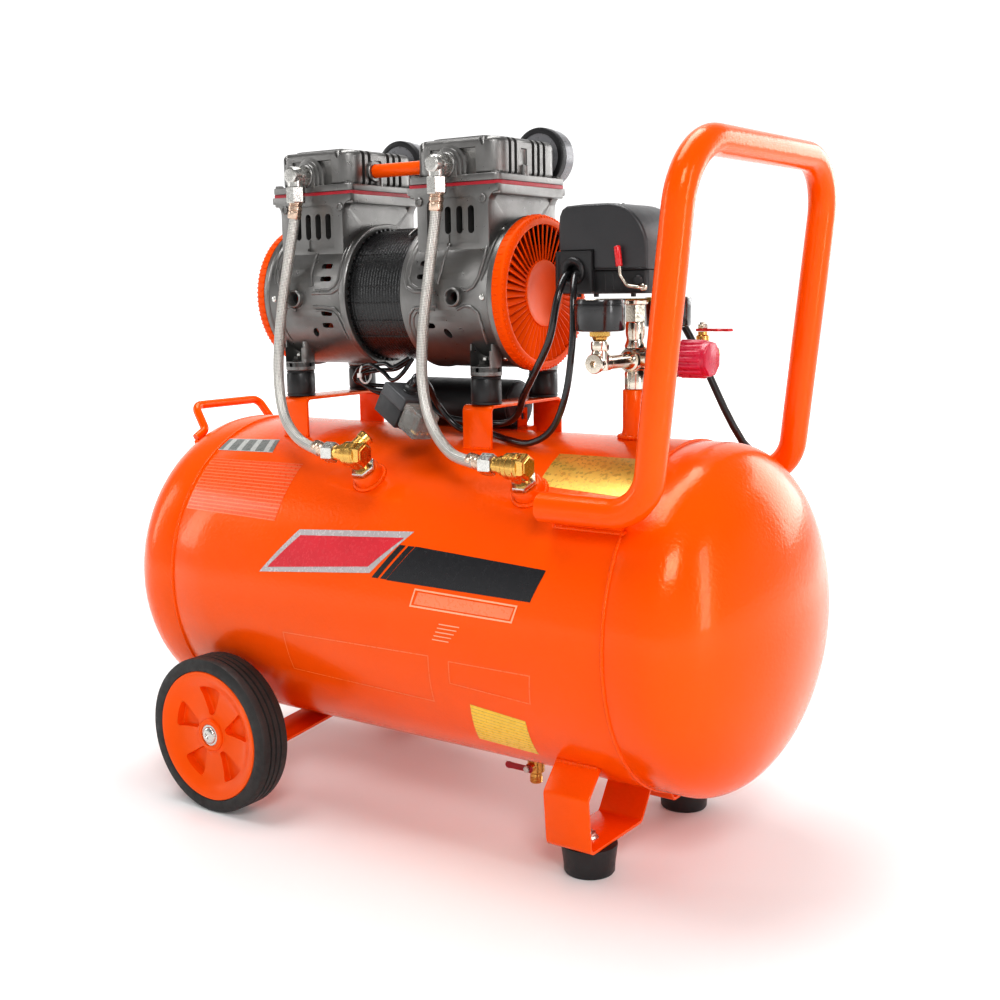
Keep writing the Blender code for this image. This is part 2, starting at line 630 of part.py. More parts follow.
def hose(side, route):
    """Steel-braided hose: elbow and nut on the head, crimped sleeves, nut on the check valve."""
    x = along(-1 if side == "left" else 1, HEAD_S) - 0.005
    top = Vector((x, -ELBOW_Y, PORT_Z))
    end = around_tank(VALVE_OUT, BUNG_ANGLE, BUNG_X[side]) - Vector((0.0213, 0, 0))
    first = top - Vector((0, 0, 0.0270))
    last = end - Vector((0.0200, 0, 0))
    line = meshed(tube(f"hose_{side}", flowing([first, *route, last], 26), 0.0051, BRAID, resolution=2))
    ahead = (Vector(route[0]) - first).normalized()
    back = (Vector(route[-1]) - last).normalized()
    return fuse(line,
                rod(f"elbow_{side}", top + Vector((0, 0.0117, 0)), top - Vector((0, 0.0085, 0)), 0.0095, STEEL, 16),
                rod(f"elbow_leg_{side}", top, top - Vector((0, 0, 0.0120)), 0.0078, STEEL, 16),
                rod(f"top_nut_{side}", top - Vector((0, 0, 0.0110)), top - Vector((0, 0, 0.0260)), 0.0092, STEEL, 6),
                rod(f"top_sleeve_{side}", first + Vector((0, 0, 0.003)), first + ahead * 0.0200, 0.0066, STEEL, 16),
                rod(f"low_nut_{side}", end, end - Vector((0.0130, 0, 0)), 0.0098, STEEL, 6),
                rod(f"low_sleeve_{side}", end - Vector((0.0120, 0, 0)), last + back * 0.0150, 0.0066, STEEL, 16))


for side in BUNG_X:
    check_valve(side)
hose("right", [(0.0285, -0.0715, 0.5650), (0.0230, -0.0760, 0.5150), (0.0205, -0.0830, 0.4650),
               (0.0270, -0.0930, 0.4230), (0.0460, -0.1060, 0.3880), (0.0760, -0.1180, 0.3650)])
hose("left", [(-0.1455, -0.0715, 0.5650), (-0.1545, -0.0760, 0.5150), (-0.1580, -0.0830, 0.4650),
              (-0.1520, -0.0930, 0.4230), (-0.1340, -0.1060, 0.3880), (-0.1050, -0.1180, 0.3680)])

# ---- unloading solenoid beside the left check valve ----
SOLENOID_TILT = Matrix.Rotation(math.radians(28), 4, "Y") @ Matrix.Rotation(math.radians(-12), 4, "Z")
SOLENOID_AT = Vector((-0.0060, -0.0830, 0.3990))
coil = block("solenoid_coil", (-0.0200, -0.0130, -0.0150), (0.0140, 0.0130, 0.0150), BLACK, 0.0015)
plug = block("solenoid_plug", (0.0130, -0.0120, -0.0120), (0.0400, 0.0120, 0.0130), BLACK, 0.0015)
for piece in (coil, plug):
    piece.matrix_world = Matrix.Translation(SOLENOID_AT) @ SOLENOID_TILT @ Matrix.Translation(piece.location)
fuse(coil, plug)

# ---- run capacitor lying between the stands ----
CAPACITOR_Y = 0.0400
CAPACITOR_R = 0.0245
capacitor_z = TANK_Z + math.sqrt((TANK_R + CAPACITOR_R + GAP) ** 2 - CAPACITOR_Y ** 2)
turned("capacitor",
       [(0.0, 0.132), (0.0215, 0.132), (CAPACITOR_R, 0.129), (CAPACITOR_R, 0.003), (0.0215, 0.0), (0.0, 0.0)],
       (-0.0890, CAPACITOR_Y, capacitor_z), "X", BLACK, steps=24)

# ---- manifold on the riser, with the two gauges ----
manifold = rod("manifold", (RISER_X, 0, 0.4158), (RISER_X, 0, SWITCH_Z - 0.0050), 0.0088, NICKEL, sides=12)
fuse(manifold, rod("manifold_thread", (RISER_X, 0, 0.3950), (RISER_X, 0, 0.4170), 0.0067, NICKEL, sides=12),
     rod("cross_hexagon", (RISER_X, 0, CROSS_Z - 0.0100), (RISER_X, 0, CROSS_Z + 0.0100), 0.0108, NICKEL, sides=6),
     rod("switch_plate", (RISER_X, 0, SWITCH_Z - 0.0060), (RISER_X, 0, SWITCH_Z - GAP), 0.0125, NICKEL, sides=6),
     rod("cross_arm", (RISER_X, -GAUGE_Y - 0.0110, CROSS_Z - 0.001), (RISER_X, GAUGE_Y + 0.0110, CROSS_Z - 0.001),
         0.0062, NICKEL, sides=12),
     rod("regulator_arm", (RISER_X, 0, CROSS_Z + 0.0007), (0.2100, 0, CROSS_Z + 0.0007), 0.0080, NICKEL, sides=12))
GAUGE_LOW = 0.4685
GAUGE_R = 0.0215
for place, y in (("tank", -GAUGE_Y), ("outlet", GAUGE_Y)):
    fuse(manifold, rod(f"gauge_tee_{place}", (RISER_X, y, CROSS_Z - 0.0090), (RISER_X, y, GAUGE_LOW - 0.0083),
                       0.0078, NICKEL, sides=12))
    turned(f"gauge_{place}",
           [(0.0, 0.0205), (GAUGE_R - 0.0022, 0.0205), (GAUGE_R - 0.0022, 0.0262), (GAUGE_R - 0.0012, 0.0270),
            (GAUGE_R, 0.0262), (GAUGE_R, 0.0010), (GAUGE_R - 0.001, 0.0), (0.0092, 0.0), (0.0092, -0.0080),
            (0.0, -0.0080)], (RISER_X, y, GAUGE_LOW), "Z", BLACK, steps=24)
    pointer = [(-0.0040, -0.0009), (-0.0040, 0.0009), *arc(0.0022, 150, 30, 4), (0.0150, 0.0003),
               (0.0150, -0.0003), *arc(0.0022, -30, -150, 4)]
    aim = Matrix.Rotation(math.radians(225), 4, "Z")
    meshed(plate(f"needle_{place}", [pointer], 0.0010,
                 Matrix.Translation((RISER_X, y, GAUGE_LOW + 0.0215)) @ aim, BLACK))

# ---- pressure switch: base with its cable entry, cover and lever ----
SWITCH_FRONT = -0.0300
SWITCH_BACK = 0.0340
SWITCH_LEFT = 0.1335
SWITCH_RIGHT = 0.2215
GLAND_X = 0.1510
GLAND_Z = 0.5185
base = block("switch_base", (SWITCH_LEFT, SWITCH_FRONT, SWITCH_Z), (SWITCH_RIGHT, SWITCH_BACK, 0.5195), BLACK, 0.0015)
fuse(base, block("gland_panel_front", (SWITCH_LEFT - 0.001, SWITCH_FRONT - 0.0055, SWITCH_Z + 0.0004),
                 (0.1702, SWITCH_FRONT + 0.002, 0.5370), BLACK, 0.0010),
     block("gland_panel_rear", (SWITCH_LEFT - 0.001, SWITCH_BACK - 0.002, SWITCH_Z + 0.0004),
           (0.1702, SWITCH_BACK + 0.0065, 0.5370), BLACK, 0.0010))
cut(base, rod("front_entry", (GLAND_X, SWITCH_FRONT - 0.010, GLAND_Z), (GLAND_X, SWITCH_FRONT + 0.0015, GLAND_Z),
              0.0095, BLACK, sides=16))
roof = arc(1.0, 90, 0, 8)
cover_outline = [(SWITCH_LEFT, 0.5198), (SWITCH_LEFT, 0.5680), (0.1375, 0.5752)]
cover_outline += [(0.1830 + 0.0390 * c, 0.5360 + 0.0402 * s) for c, s in roof]
cover_outline += [(0.2220, 0.5198)]
upright = Matrix.Rotation(math.pi / 2, 4, "X")
cover_front = SWITCH_FRONT - 0.002
cover_depth = SWITCH_BACK + 0.002 - cover_front
cover = meshed(plate("switch_cover", [cover_outline], cover_depth,
                     Matrix.Translation((0, cover_front + cover_depth / 2, 0)) @ upright, BLACK))
cut(cover, block("panel_room_front", (0.125, -0.050, 0.510), (0.1705, SWITCH_FRONT + 0.0023, 0.5373), BLACK),
    block("panel_room_rear", (0.125, SWITCH_BACK - 0.0023, 0.510), (0.1705, 0.060, 0.5373), BLACK))
LEVER_Y = -0.0366
LEVER_X = 0.2185
LEVER_Z = 0.5045
lever_route = [(LEVER_X, SWITCH_FRONT - GAP, LEVER_Z), (LEVER_X, LEVER_Y, LEVER_Z), (0.2060, LEVER_Y, 0.5062),
               (0.1992, LEVER_Y, 0.5150), (0.1963, LEVER_Y, 0.5390)]
switch_lever = meshed(tube("switch_lever", bent(lever_route, [0.003, 0.006, 0.004], steps=3), 0.0014, STEEL, 2))
fuse(switch_lever,
     rod("lever_sleeve", (0.1981, LEVER_Y, 0.5225), (0.1960, LEVER_Y, 0.5400), 0.0030, CRIMSON, sides=12))

# ---- regulator with its knob, and the outlet ball valve behind it ----
KNOB_Z = CROSS_Z + 0.0007
OUTLET_X = 0.2245
OUTLET_Y = 0.0680
regulator = turned("regulator_body", [(0.0, 0.0275), (0.0125, 0.0275), (0.0165, 0.0230), (0.0165, 0.0040),
                                      (0.0140, 0.0), (0.0, 0.0)], (0.2103, 0, KNOB_Z), "X", BLACK, steps=20)
fuse(regulator, rod("outlet_pipe", (OUTLET_X, 0.010, KNOB_Z), (OUTLET_X, 0.0920, KNOB_Z), 0.0077, BRASS, sides=14),
     rod("outlet_hexagon", (OUTLET_X, 0.0530, KNOB_Z), (OUTLET_X, 0.0825, KNOB_Z), 0.0102, BRASS, sides=6),
     rod("outlet_stem", (OUTLET_X, OUTLET_Y, KNOB_Z), (OUTLET_X, OUTLET_Y, 0.4640), 0.0042, BRASS, sides=12))
cut(regulator, rod("outlet_bore", (OUTLET_X, 0.0760, KNOB_Z), (OUTLET_X, 0.0960, KNOB_Z), 0.0048, BRASS, sides=12))
turned("regulator_knob", [(0.0, 0.0305), (0.0145, 0.0305), (0.0160, 0.0290), (0.0165, 0.0010), (0.0155, 0.0),
                          (0.0, 0.0)], (0.2381, 0, KNOB_Z), "X", CRIMSON, steps=20)
block("outlet_lever", (OUTLET_X - 0.0065, OUTLET_Y - 0.0060, 0.4643), (OUTLET_X + 0.0300, OUTLET_Y + 0.0060, 0.4668),
      CRIMSON, 0.0006)

# ---- fixed leads: switch to motor, and switch to solenoid ----
motor_lead = [(0.1468, -0.0290, 0.5175), (0.1485, -0.0450, 0.5140), (0.1490, -0.0580, 0.4950),
              (0.1425, -0.0610, 0.4610), (0.1230, -0.0540, 0.4330), (0.1010, -0.0400, 0.4100),
              (0.0810, -0.0220, 0.3900), (0.0560, -0.0100, 0.3800), (0.0200, -0.0080, 0.3790),
              (-0.0200, -0.0060, 0.3850), (-0.0420, -0.0030, 0.4050), (-0.0480, 0.0, 0.4360)]
tube("motor_lead", flowing(motor_lead, 36), 0.0033, RUBBER, resolution=1)
lead_end = SOLENOID_AT + SOLENOID_TILT @ Vector((0.0000, 0.0020, 0.0150 + GAP))
lead_rise = SOLENOID_AT + SOLENOID_TILT @ Vector((0.0000, 0.0020, 0.0250))
solenoid_lead = [(0.1552, -0.0290, 0.5175), (0.1585, -0.0440, 0.5150), (0.1660, -0.0590, 0.4950),
                 (0.1680, -0.0640, 0.4600), (0.1610, -0.0640, 0.4150), (0.1430, -0.0590, 0.3830),
                 (0.1160, -0.0540, 0.3690), (0.0870, -0.0470, 0.3700), (0.0580, -0.0380, 0.3740),
                 (0.0250, -0.0360, 0.3760), (0.0080, -0.0440, 0.3960), (0.0070, -0.0600, 0.4180),
                 (0.0060, -0.0740, 0.4270), lead_rise, lead_end]
tube("solenoid_lead", flowing(solenoid_lead, 42), 0.0030, RUBBER, resolution=1)

# ---- mains cord: out of the switch, over the tank's shoulder, down behind it to its coil and plug ----
COIL_AT = Vector((0.0465, 0.2300, 0))
cord_route = [(GLAND_X, SWITCH_BACK + 0.0068, 0.5200), (0.1530, 0.0620, 0.5190), (0.1640, 0.0830, 0.5080),
              (0.1850, 0.0950, 0.4780), (0.2120, 0.0940, 0.4350), (0.2330, 0.0950, 0.3940),
              (0.2440, 0.1010, 0.3700), (0.2490, 0.1110, 0.3560), (0.2500, 0.1240, 0.3495),
              (0.2495, 0.1380, 0.3468), (0.2485, 0.1530, 0.3410), (0.2465, 0.1645, 0.3280),
              (0.2435, 0.1690, 0.3050), (0.2390, 0.1690, 0.2650), (0.2290, 0.1665, 0.2100),
              (0.2120, 0.1655, 0.1400), (0.1960, 0.1680, 0.0650),
              (0.1820, 0.1760, 0.0170), (0.1650, 0.1840, 0.0048), (0.1400, 0.1880, 0.0042),
              (0.1150, 0.1890, 0.0042), (0.0765, 0.1880, 0.0042)]
tube("power_cord", flowing(cord_route, 54), CORD_R, RUBBER, resolution=2)
coil_outer = COIL_TURN_R + COIL_W / 2
coil_inner = COIL_TURN_R - COIL_W / 2
turned("cord_coil", [(coil_outer, COIL_H), (coil_outer, GAP), (coil_inner, GAP), (coil_inner, COIL_H)],
       COIL_AT, "Z", RUBBER, steps=24, ring=True)
plug_at = Vector((-0.0180, 0.1900, 0.0152))
plug_end = plug_at - Vector((0.0160, 0, 0))
cord_plug = rod("cord_plug", plug_at, plug_at + Vector((0.0300, 0, 0)), 0.0150, RUBBER, 20, 0.0070)
fuse(cord_plug, rod("plug_face", plug_end, plug_at + Vector((0.0005, 0, 0)), 0.0150, RUBBER, 20))
for sign in (-1, 1):
    pin = plug_at + Vector((-0.0155, 0, 0.0095 * sign))
    fuse(cord_plug, rod(f"plug_pin_{sign}", pin, pin - Vector((0.0190, 0, 0)), 0.0024, STEEL, 10))
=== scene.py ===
import math

import bmesh
import bpy
from mathutils import Matrix, Vector, noise


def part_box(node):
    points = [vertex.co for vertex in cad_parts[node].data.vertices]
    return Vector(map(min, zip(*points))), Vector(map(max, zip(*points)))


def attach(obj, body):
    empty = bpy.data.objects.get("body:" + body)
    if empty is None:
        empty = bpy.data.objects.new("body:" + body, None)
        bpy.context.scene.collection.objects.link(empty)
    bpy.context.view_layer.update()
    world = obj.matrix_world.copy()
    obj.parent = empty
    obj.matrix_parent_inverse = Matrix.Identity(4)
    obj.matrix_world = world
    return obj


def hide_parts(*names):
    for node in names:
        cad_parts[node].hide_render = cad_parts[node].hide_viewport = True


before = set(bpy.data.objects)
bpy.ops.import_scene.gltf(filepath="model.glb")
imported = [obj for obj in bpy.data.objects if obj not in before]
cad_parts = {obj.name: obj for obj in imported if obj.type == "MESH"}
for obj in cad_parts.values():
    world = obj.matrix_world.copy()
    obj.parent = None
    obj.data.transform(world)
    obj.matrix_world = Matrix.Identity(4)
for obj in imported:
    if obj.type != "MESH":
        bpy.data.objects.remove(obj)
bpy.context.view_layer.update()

# ---- camera ----
# Stands at waist height off the large handle's front corner, on a short telephoto lens, a little
# above the object and looking slightly down.
heading, dip, lean = 2.1877, -0.1582, -0.0151
ahead = Vector((math.cos(heading) * math.cos(dip), math.sin(heading) * math.cos(dip), math.sin(dip)))
sideways = Vector((math.sin(heading), -math.cos(heading), 0))
above = sideways.cross(ahead)
right = math.cos(lean) * sideways + math.sin(lean) * above
upward = math.cos(lean) * above - math.sin(lean) * sideways
lens = bpy.data.cameras.new("camera")
lens.lens = 47.97
lens.sensor_width = 36
camera = bpy.data.objects.new("camera", lens)
camera.matrix_world = Matrix.Translation((0.7769, -1.0326, 0.5063)) @ Matrix(
    (right, upward, -ahead)).transposed().to_4x4()
bpy.context.scene.collection.objects.link(camera)
bpy.context.scene.camera = camera

# ---- mains cord, its spare coil and its plug ----
# A round rubber-sheathed three-core lead of 7 mm, clamped in the rear of the pressure switch. It goes over
# the tank's shoulder behind the handle, drops to the floor and ends in a tied coil with the plug beside it.


def mm(*spots):
    """Points given in millimetres, in the frame's metres."""
    return [tuple(value / 1000 for value in spot) for spot in spots]



def surface(name, colour, roughness, metallic=0.0, tint=0.10, tint_scale=9.0, grain=0.0, grain_scale=900.0,
            scuff=0.08, coat=0.0):
    """A finish whose colour, gloss and fine relief all vary a little over the piece, as real ones do."""
    material = bpy.data.materials.new(name)
    material.use_nodes = True
    nodes, links = material.node_tree.nodes, material.node_tree.links
    shader = nodes["Principled BSDF"]
    shader.inputs["Metallic"].default_value = metallic
    shader.inputs["Coat Weight"].default_value = coat
    shader.inputs["Coat Roughness"].default_value = 0.06
    place = nodes.new("ShaderNodeTexCoord")
    cloud = nodes.new("ShaderNodeTexNoise")
    cloud.inputs["Scale"].default_value = tint_scale
    cloud.inputs["Detail"].default_value = 5.0
    links.new(place.outputs["Object"], cloud.inputs["Vector"])
    shades = nodes.new("ShaderNodeValToRGB")
    shades.color_ramp.elements[0].position = 0.30
    shades.color_ramp.elements[1].position = 0.70
    shades.color_ramp.elements[0].color = (*[c * (1 - tint) for c in colour], 1)
    shades.color_ramp.elements[1].color = (*[min(1.0, c * (1 + tint)) for c in colour], 1)
    links.new(cloud.outputs["Fac"], shades.inputs["Fac"])
    links.new(shades.outputs["Color"], shader.inputs["Base Color"])
    wear = nodes.new("ShaderNodeTexNoise")
    wear.inputs["Scale"].default_value = tint_scale * 7
    wear.inputs["Detail"].default_value = 8.0
    links.new(place.outputs["Object"], wear.inputs["Vector"])
    gloss = nodes.new("ShaderNodeMapRange")
    gloss.inputs["From Min"].default_value = 0.3
    gloss.inputs["From Max"].default_value = 0.7
    gloss.inputs["To Min"].default_value = max(0.02, roughness - scuff)
    gloss.inputs["To Max"].default_value = min(1.0, roughness + scuff)
    links.new(wear.outputs["Fac"], gloss.inputs["Value"])
    links.new(gloss.outputs["Result"], shader.inputs["Roughness"])
    if grain:
        relief = nodes.new("ShaderNodeTexNoise")
        relief.inputs["Scale"].default_value = grain_scale
        relief.inputs["Detail"].default_value = 3.0
        links.new(place.outputs["Object"], relief.inputs["Vector"])
        bump = nodes.new("ShaderNodeBump")
        bump.name = "relief"
        bump.inputs["Strength"].default_value = 1.0
        bump.inputs["Distance"].default_value = grain
        links.new(relief.outputs["Fac"], bump.inputs["Height"])
        links.new(bump.outputs["Normal"], shader.inputs["Normal"])
    return material


def pattern(material, kind, scale, depth, direction="X"):
    """Adds machining marks, laminations or ribs to a finish as a second relief of bands or rings."""
    nodes, links = material.node_tree.nodes, material.node_tree.links
    shader = nodes["Principled BSDF"]
    place = nodes.new("ShaderNodeTexCoord")
    wave = nodes.new("ShaderNodeTexWave")
    wave.wave_type = kind
    if kind == "BANDS":
        wave.bands_direction = direction
    else:
        wave.rings_direction = direction
    wave.inputs["Scale"].default_value = scale
    wave.inputs["Distortion"].default_value = 0.4
    links.new(place.outputs["Object"], wave.inputs["Vector"])
    bump = nodes.new("ShaderNodeBump")
    bump.inputs["Strength"].default_value = 1.0
    bump.inputs["Distance"].default_value = depth
    links.new(wave.outputs["Fac"], bump.inputs["Height"])
    if "relief" in nodes:
        links.new(nodes["relief"].outputs["Normal"], bump.inputs["Normal"])
    links.new(bump.outputs["Normal"], shader.inputs["Normal"])
    return material


def shaped(verts, faces):
    """A form from its corners and faces."""
    form = bmesh.new()
    corners = [form.verts.new(v) for v in verts]
    for face in faces:
        form.faces.new([corners[i] for i in face])
    return form


def bar(path, radius, sides=16):
    """A round bar swept along a path, with flat ends; its UV runs round it and along its length."""
    path = [Vector(p) for p in path]
    radii = radius if isinstance(radius, (list, tuple)) else [radius] * len(path)
    form = bmesh.new()
    uv = form.loops.layers.uv.new("UVMap")
    heading = (path[1] - path[0]).normalized()
    side = heading.orthogonal().normalized()
    rings, lengths = [], [0.0]
    for i, point in enumerate(path):
        before = path[max(0, i - 1)]
        after = path[min(len(path) - 1, i + 1)]
        turn = heading.rotation_difference((after - before).normalized())
        heading = (after - before).normalized()
        side = turn @ side
        other = heading.cross(side)
        ring = []
        for k in range(sides):
            angle = 2 * math.pi * k / sides
            ring.append(form.verts.new(point + (side * math.cos(angle) + other * math.sin(angle)) * radii[i]))
        rings.append(ring)
        if i:
            lengths.append(lengths[-1] + (point - path[i - 1]).length)
    for i, (a, b) in enumerate(zip(rings, rings[1:])):
        for k in range(sides):
            m = (k + 1) % sides
            face = form.faces.new((a[k], a[m], b[m], b[k]))
            marks = ((k, i), (k + 1, i), (k + 1, i + 1), (k, i + 1))
            for loop, (turn_step, length_step) in zip(face.loops, marks):
                loop[uv].uv = (turn_step / sides, lengths[length_step])
    form.faces.new(reversed(rings[0]))
    form.faces.new(rings[-1])
    return form


def flowing(points, count):
    """A smooth curve through the route's own points, read at even steps of its length."""
    points = [Vector(p) for p in points]
    ends = [2 * points[0] - points[1]] + points + [2 * points[-1] - points[-2]]
    fine = []
    for a, b, c, d in zip(ends, ends[1:], ends[2:], ends[3:]):
        for i in range(24):
            t = i / 24
            fine.append(0.5 * (2 * b + (c - a) * t + (2 * a - 5 * b + 4 * c - d) * t * t
                               + (3 * b - a - 3 * c + d) * t ** 3))
    fine.append(points[-1])
    lengths = [0.0]
    for a, b in zip(fine, fine[1:]):
        lengths.append(lengths[-1] + (b - a).length)
    path = []
    k = 0
    for i in range(count):
        goal = lengths[-1] * i / (count - 1)
        while k < len(fine) - 2 and lengths[k + 1] < goal:
            k += 1
        share = (goal - lengths[k]) / (lengths[k + 1] - lengths[k])
        path.append(fine[k].lerp(fine[k + 1], min(1.0, share)))
    return path


def made(name, forms, material, body="receiver", stands_for=(), angle=35.0):
    """Joins forms into one finished piece, shaded smooth but for its sharp edges, on the body it moves with."""
    whole = bmesh.new()
    whole.loops.layers.uv.new("UVMap")
    for form in forms:
        spare = bpy.data.meshes.new("spare")
        form.to_mesh(spare)
        whole.from_mesh(spare)
        form.free()
        bpy.data.meshes.remove(spare)
    bmesh.ops.triangulate(whole, faces=[f for f in whole.faces if len(f.verts) > 4])
    mesh = bpy.data.meshes.new(name)
    whole.to_mesh(mesh)
    whole.free()
    mesh.shade_smooth()
    mesh.set_sharp_from_angle(angle=math.radians(angle))
    mesh.materials.append(material)
    piece = bpy.data.objects.new(name, mesh)
    bpy.context.scene.collection.objects.link(piece)
    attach(piece, body)
    if stands_for:
        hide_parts(*stands_for)
    return piece


def turned(profile, centre=(0, 0, 0), axis="Z", steps=64, ring=False):
    """A lathe-turned form: (radius, height) points from pole to pole, or round a closed section."""
    form = bmesh.new()
    rows = []
    for radius, height in profile:
        spots = steps if radius > 1e-6 else 1
        rows.append([form.verts.new((radius * math.cos(2 * math.pi * k / steps),
                                     radius * math.sin(2 * math.pi * k / steps),
                                     height)) for k in range(spots)])
    pairs = list(zip(rows, rows[1:]))
    if ring:
        pairs.append((rows[-1], rows[0]))
    for a, b in pairs:
        for k in range(steps if max(len(a), len(b)) > 1 else 0):
            m = (k + 1) % steps
            corners = []
            for v in (a[k % len(a)], a[m % len(a)], b[m % len(b)], b[k % len(b)]):
                if v not in corners:
                    corners.append(v)
            form.faces.new(corners)
    for row in (rows[0], rows[-1]):
        if not ring and len(row) > 1:
            form.faces.new(row)
    turns = {"X": Matrix.Rotation(math.pi / 2, 4, "Y"), "-X": Matrix.Rotation(-math.pi / 2, 4, "Y"),
             "Y": Matrix.Rotation(-math.pi / 2, 4, "X"), "-Y": Matrix.Rotation(math.pi / 2, 4, "X"),
             "Z": Matrix.Identity(4), "-Z": Matrix.Rotation(math.pi, 4, "X")}
    spin = turns[axis] if isinstance(axis, str) else Vector(axis).to_track_quat("Z", "Y").to_matrix().to_4x4()
    form.transform(Matrix.Translation(centre) @ spin)
    bmesh.ops.recalc_face_normals(form, faces=form.faces)
    return form


def rubber(name, shade=0.014, roughness=0.42, grain=0.00012):
    return surface(name, (shade, shade, shade * 1.05), roughness, tint=0.35, tint_scale=30, grain=grain)


cord_rubber = rubber("mains_cord_rubber", 0.012, 0.34, 0.00006)
route = flowing(mm((151, 40.8, 520), (153, 62, 519), (164, 83, 508), (185, 95, 478), (212, 94, 435),
        (233, 95, 394), (244, 101, 370), (249, 111, 356), (250, 124, 349.5), (249.5, 138, 346.8),
        (248.5, 153, 341), (246.5, 164.5, 328), (243.5, 169, 305), (239, 169, 265), (229, 166.5, 210),
        (212, 165.5, 140), (196, 168, 65), (182, 176, 17), (165, 184, 4.8), (140, 188, 4.2), (115, 189, 4.2),
                   (76.5, 188, 4.2)), 40)


def eased(phase, start, end, before, after):
    """A value that passes smoothly from before to after over part of the winding."""
    share = min(1.0, max(0.0, (phase - start) / (end - start)))
    return before + (after - before) * share * share * (3 - 2 * share)


for step in range(97):
    phase = step * 15
    radius = eased(phase, 310, 360, 0.042, 0.035) + eased(phase, 890, 950, 0, 0.007)
    height = 0.0042 + eased(phase, 600, 660, 0, 0.007) + eased(phase, 1160, 1220, 0, 0.007)
    angle = math.radians(-90 - phase)
    route.append(Vector((0.0465 + radius * math.cos(angle), 0.2300 + radius * math.sin(angle), height)))
route += [Vector((0.0300, 0.1882, 0.0172)), Vector((0.0123, 0.1900, 0.0152))]
cord_length = sum((b - a).length for a, b in zip(route, route[1:]))
cord = made("mains_cord", [bar(route, 0.0035, 14)], cord_rubber, stands_for=["power_cord", "cord_coil"])
relief = mm((6.4, 0), (6.4, 3))
for fold in range(6):
    relief += [(0.0062 - 0.0004 * fold, 0.004 + fold * 0.004), (0.0054 - 0.0003 * fold, 0.006 + fold * 0.004)]
relief += mm((3.8, 30), (3.6, 31), (0, 31))
strain_relief = made("cord_strain_relief", [turned([(0.0, 0.0)] + relief, (0.1510, 0.0405, 0.5200),
                                                   (0.06, 1.0, -0.02))], cord_rubber)
tie = made("coil_tie", [bar([Vector((0.0465 + 0.0385 + 0.0105 * math.cos(a), 0.2300,
                                     0.0122 + 0.0108 * math.sin(a)))
                             for a in [math.pi * k / 12 for k in range(24)]], 0.0010, 8)], cord_rubber)
plug = made("mains_plug", [
    turned(mm((0, 0.5), (12.5, 0.5), (14.8, 3), (15, 16), (13.8, 24), (10.5, 30), (8.5, 34.5), (8.8, 36),
            (7.8, 37.5), (8.2, 39.5), (7, 41), (7.4, 43), (6, 45.5), (0, 45.5)), (-0.0340, 0.1900, 0.0152), "X",
           32)],
    cord_rubber, stands_for=["cord_plug"])
pin_nickel = surface("bright_nickel", (0.60, 0.56, 0.50), 0.20, 1.0, tint=0.06, grain=0.00002, scuff=0.07)
pins = made("plug_pins", [turned(mm((0, 0), (1.6, 0.2), (2.4, 1.6), (2.4, 19.5), (0, 19.5)),
                                 (-0.0525, 0.1900, 0.0152 + 0.0095 * sign), "X", 16) for sign in (-1, 1)],
            pin_nickel)
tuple(route[0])

# ---- tank ----
# Rolled steel cylinder and two pressed domes, welded with a raised bead at each seam, then sprayed in thick
# orange enamel that dries with a fine orange-peel skin. The bungs, riser and drain boss are welded on first.

def reflections(material, strength, tint):
    """Sets how strongly a finish reflects, and the colour its reflections take."""
    shader = material.node_tree.nodes["Principled BSDF"]
    shader.inputs["Specular IOR Level"].default_value = strength
    shader.inputs["Specular Tint"].default_value = tint


enamel = surface("orange_enamel", (0.90, 0.098, 0.0), 0.19, tint=0.05, tint_scale=5.0, grain=0.00030,
                 grain_scale=330.0, scuff=0.05, coat=0.18)
reflections(enamel, 0.40, (1.0, 0.60, 0.30, 1))
enamel.node_tree.nodes["Principled BSDF"].inputs["Coat Tint"].default_value = (1.0, 0.72, 0.50, 1)
tank_low, tank_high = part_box("tank_shell")
tank_radius = (tank_high.y - tank_low.y) / 2
tank_middle = Vector((0, 0, 0.2174))
seam = 0.2505
bung_turn = 41.5
flange = 0.027
dome = tank_high.x - seam - flange


def on_tank(distance, turn, x):
    """A point at a distance from the tank's axis, turned forward from the top by an angle in degrees."""
    angle = math.radians(turn)
    return Vector((x, -distance * math.sin(angle), tank_middle.z + distance * math.cos(angle)))


half = [(tank_radius * math.sin(t), seam + flange + dome * math.cos(t))
        for t in (math.pi / 2 * k / 28 for k in range(28))]
half[0] = (0.0, seam + flange + dome)
half += [(tank_radius, seam + flange), (tank_radius, seam + 0.0015), (tank_radius - 0.0006, seam),
         (tank_radius, seam - 0.0015), (tank_radius, seam - 0.05), (tank_radius, 0.1)]
shell = turned([(r, -h) for r, h in half] + [(r, h) for r, h in reversed(half)], tank_middle, "X", 160)


def bead(path, radius, ripple=0.0028):
    """A weld bead: a low rounded cord of metal whose width and height ripple along its run."""
    length = sum((b - a).length for a, b in zip(path, path[1:]))
    count = max(12, int(length / ripple * 4))
    points = flowing(path, count)
    radii = [radius * (1 + 0.13 * math.sin(i * math.pi / 2) + 0.10 * noise.noise(p * 90))
             for i, p in enumerate(points)]
    return bar(points, radii, 8)


def ring_path(centre, radius, axis, count=48):
    spin = Vector(axis).to_track_quat("Z", "Y")
    return [Vector(centre) + spin @ Vector((radius * math.cos(2 * math.pi * k / count),
                                            radius * math.sin(2 * math.pi * k / count), 0))
            for k in range(count + 1)]


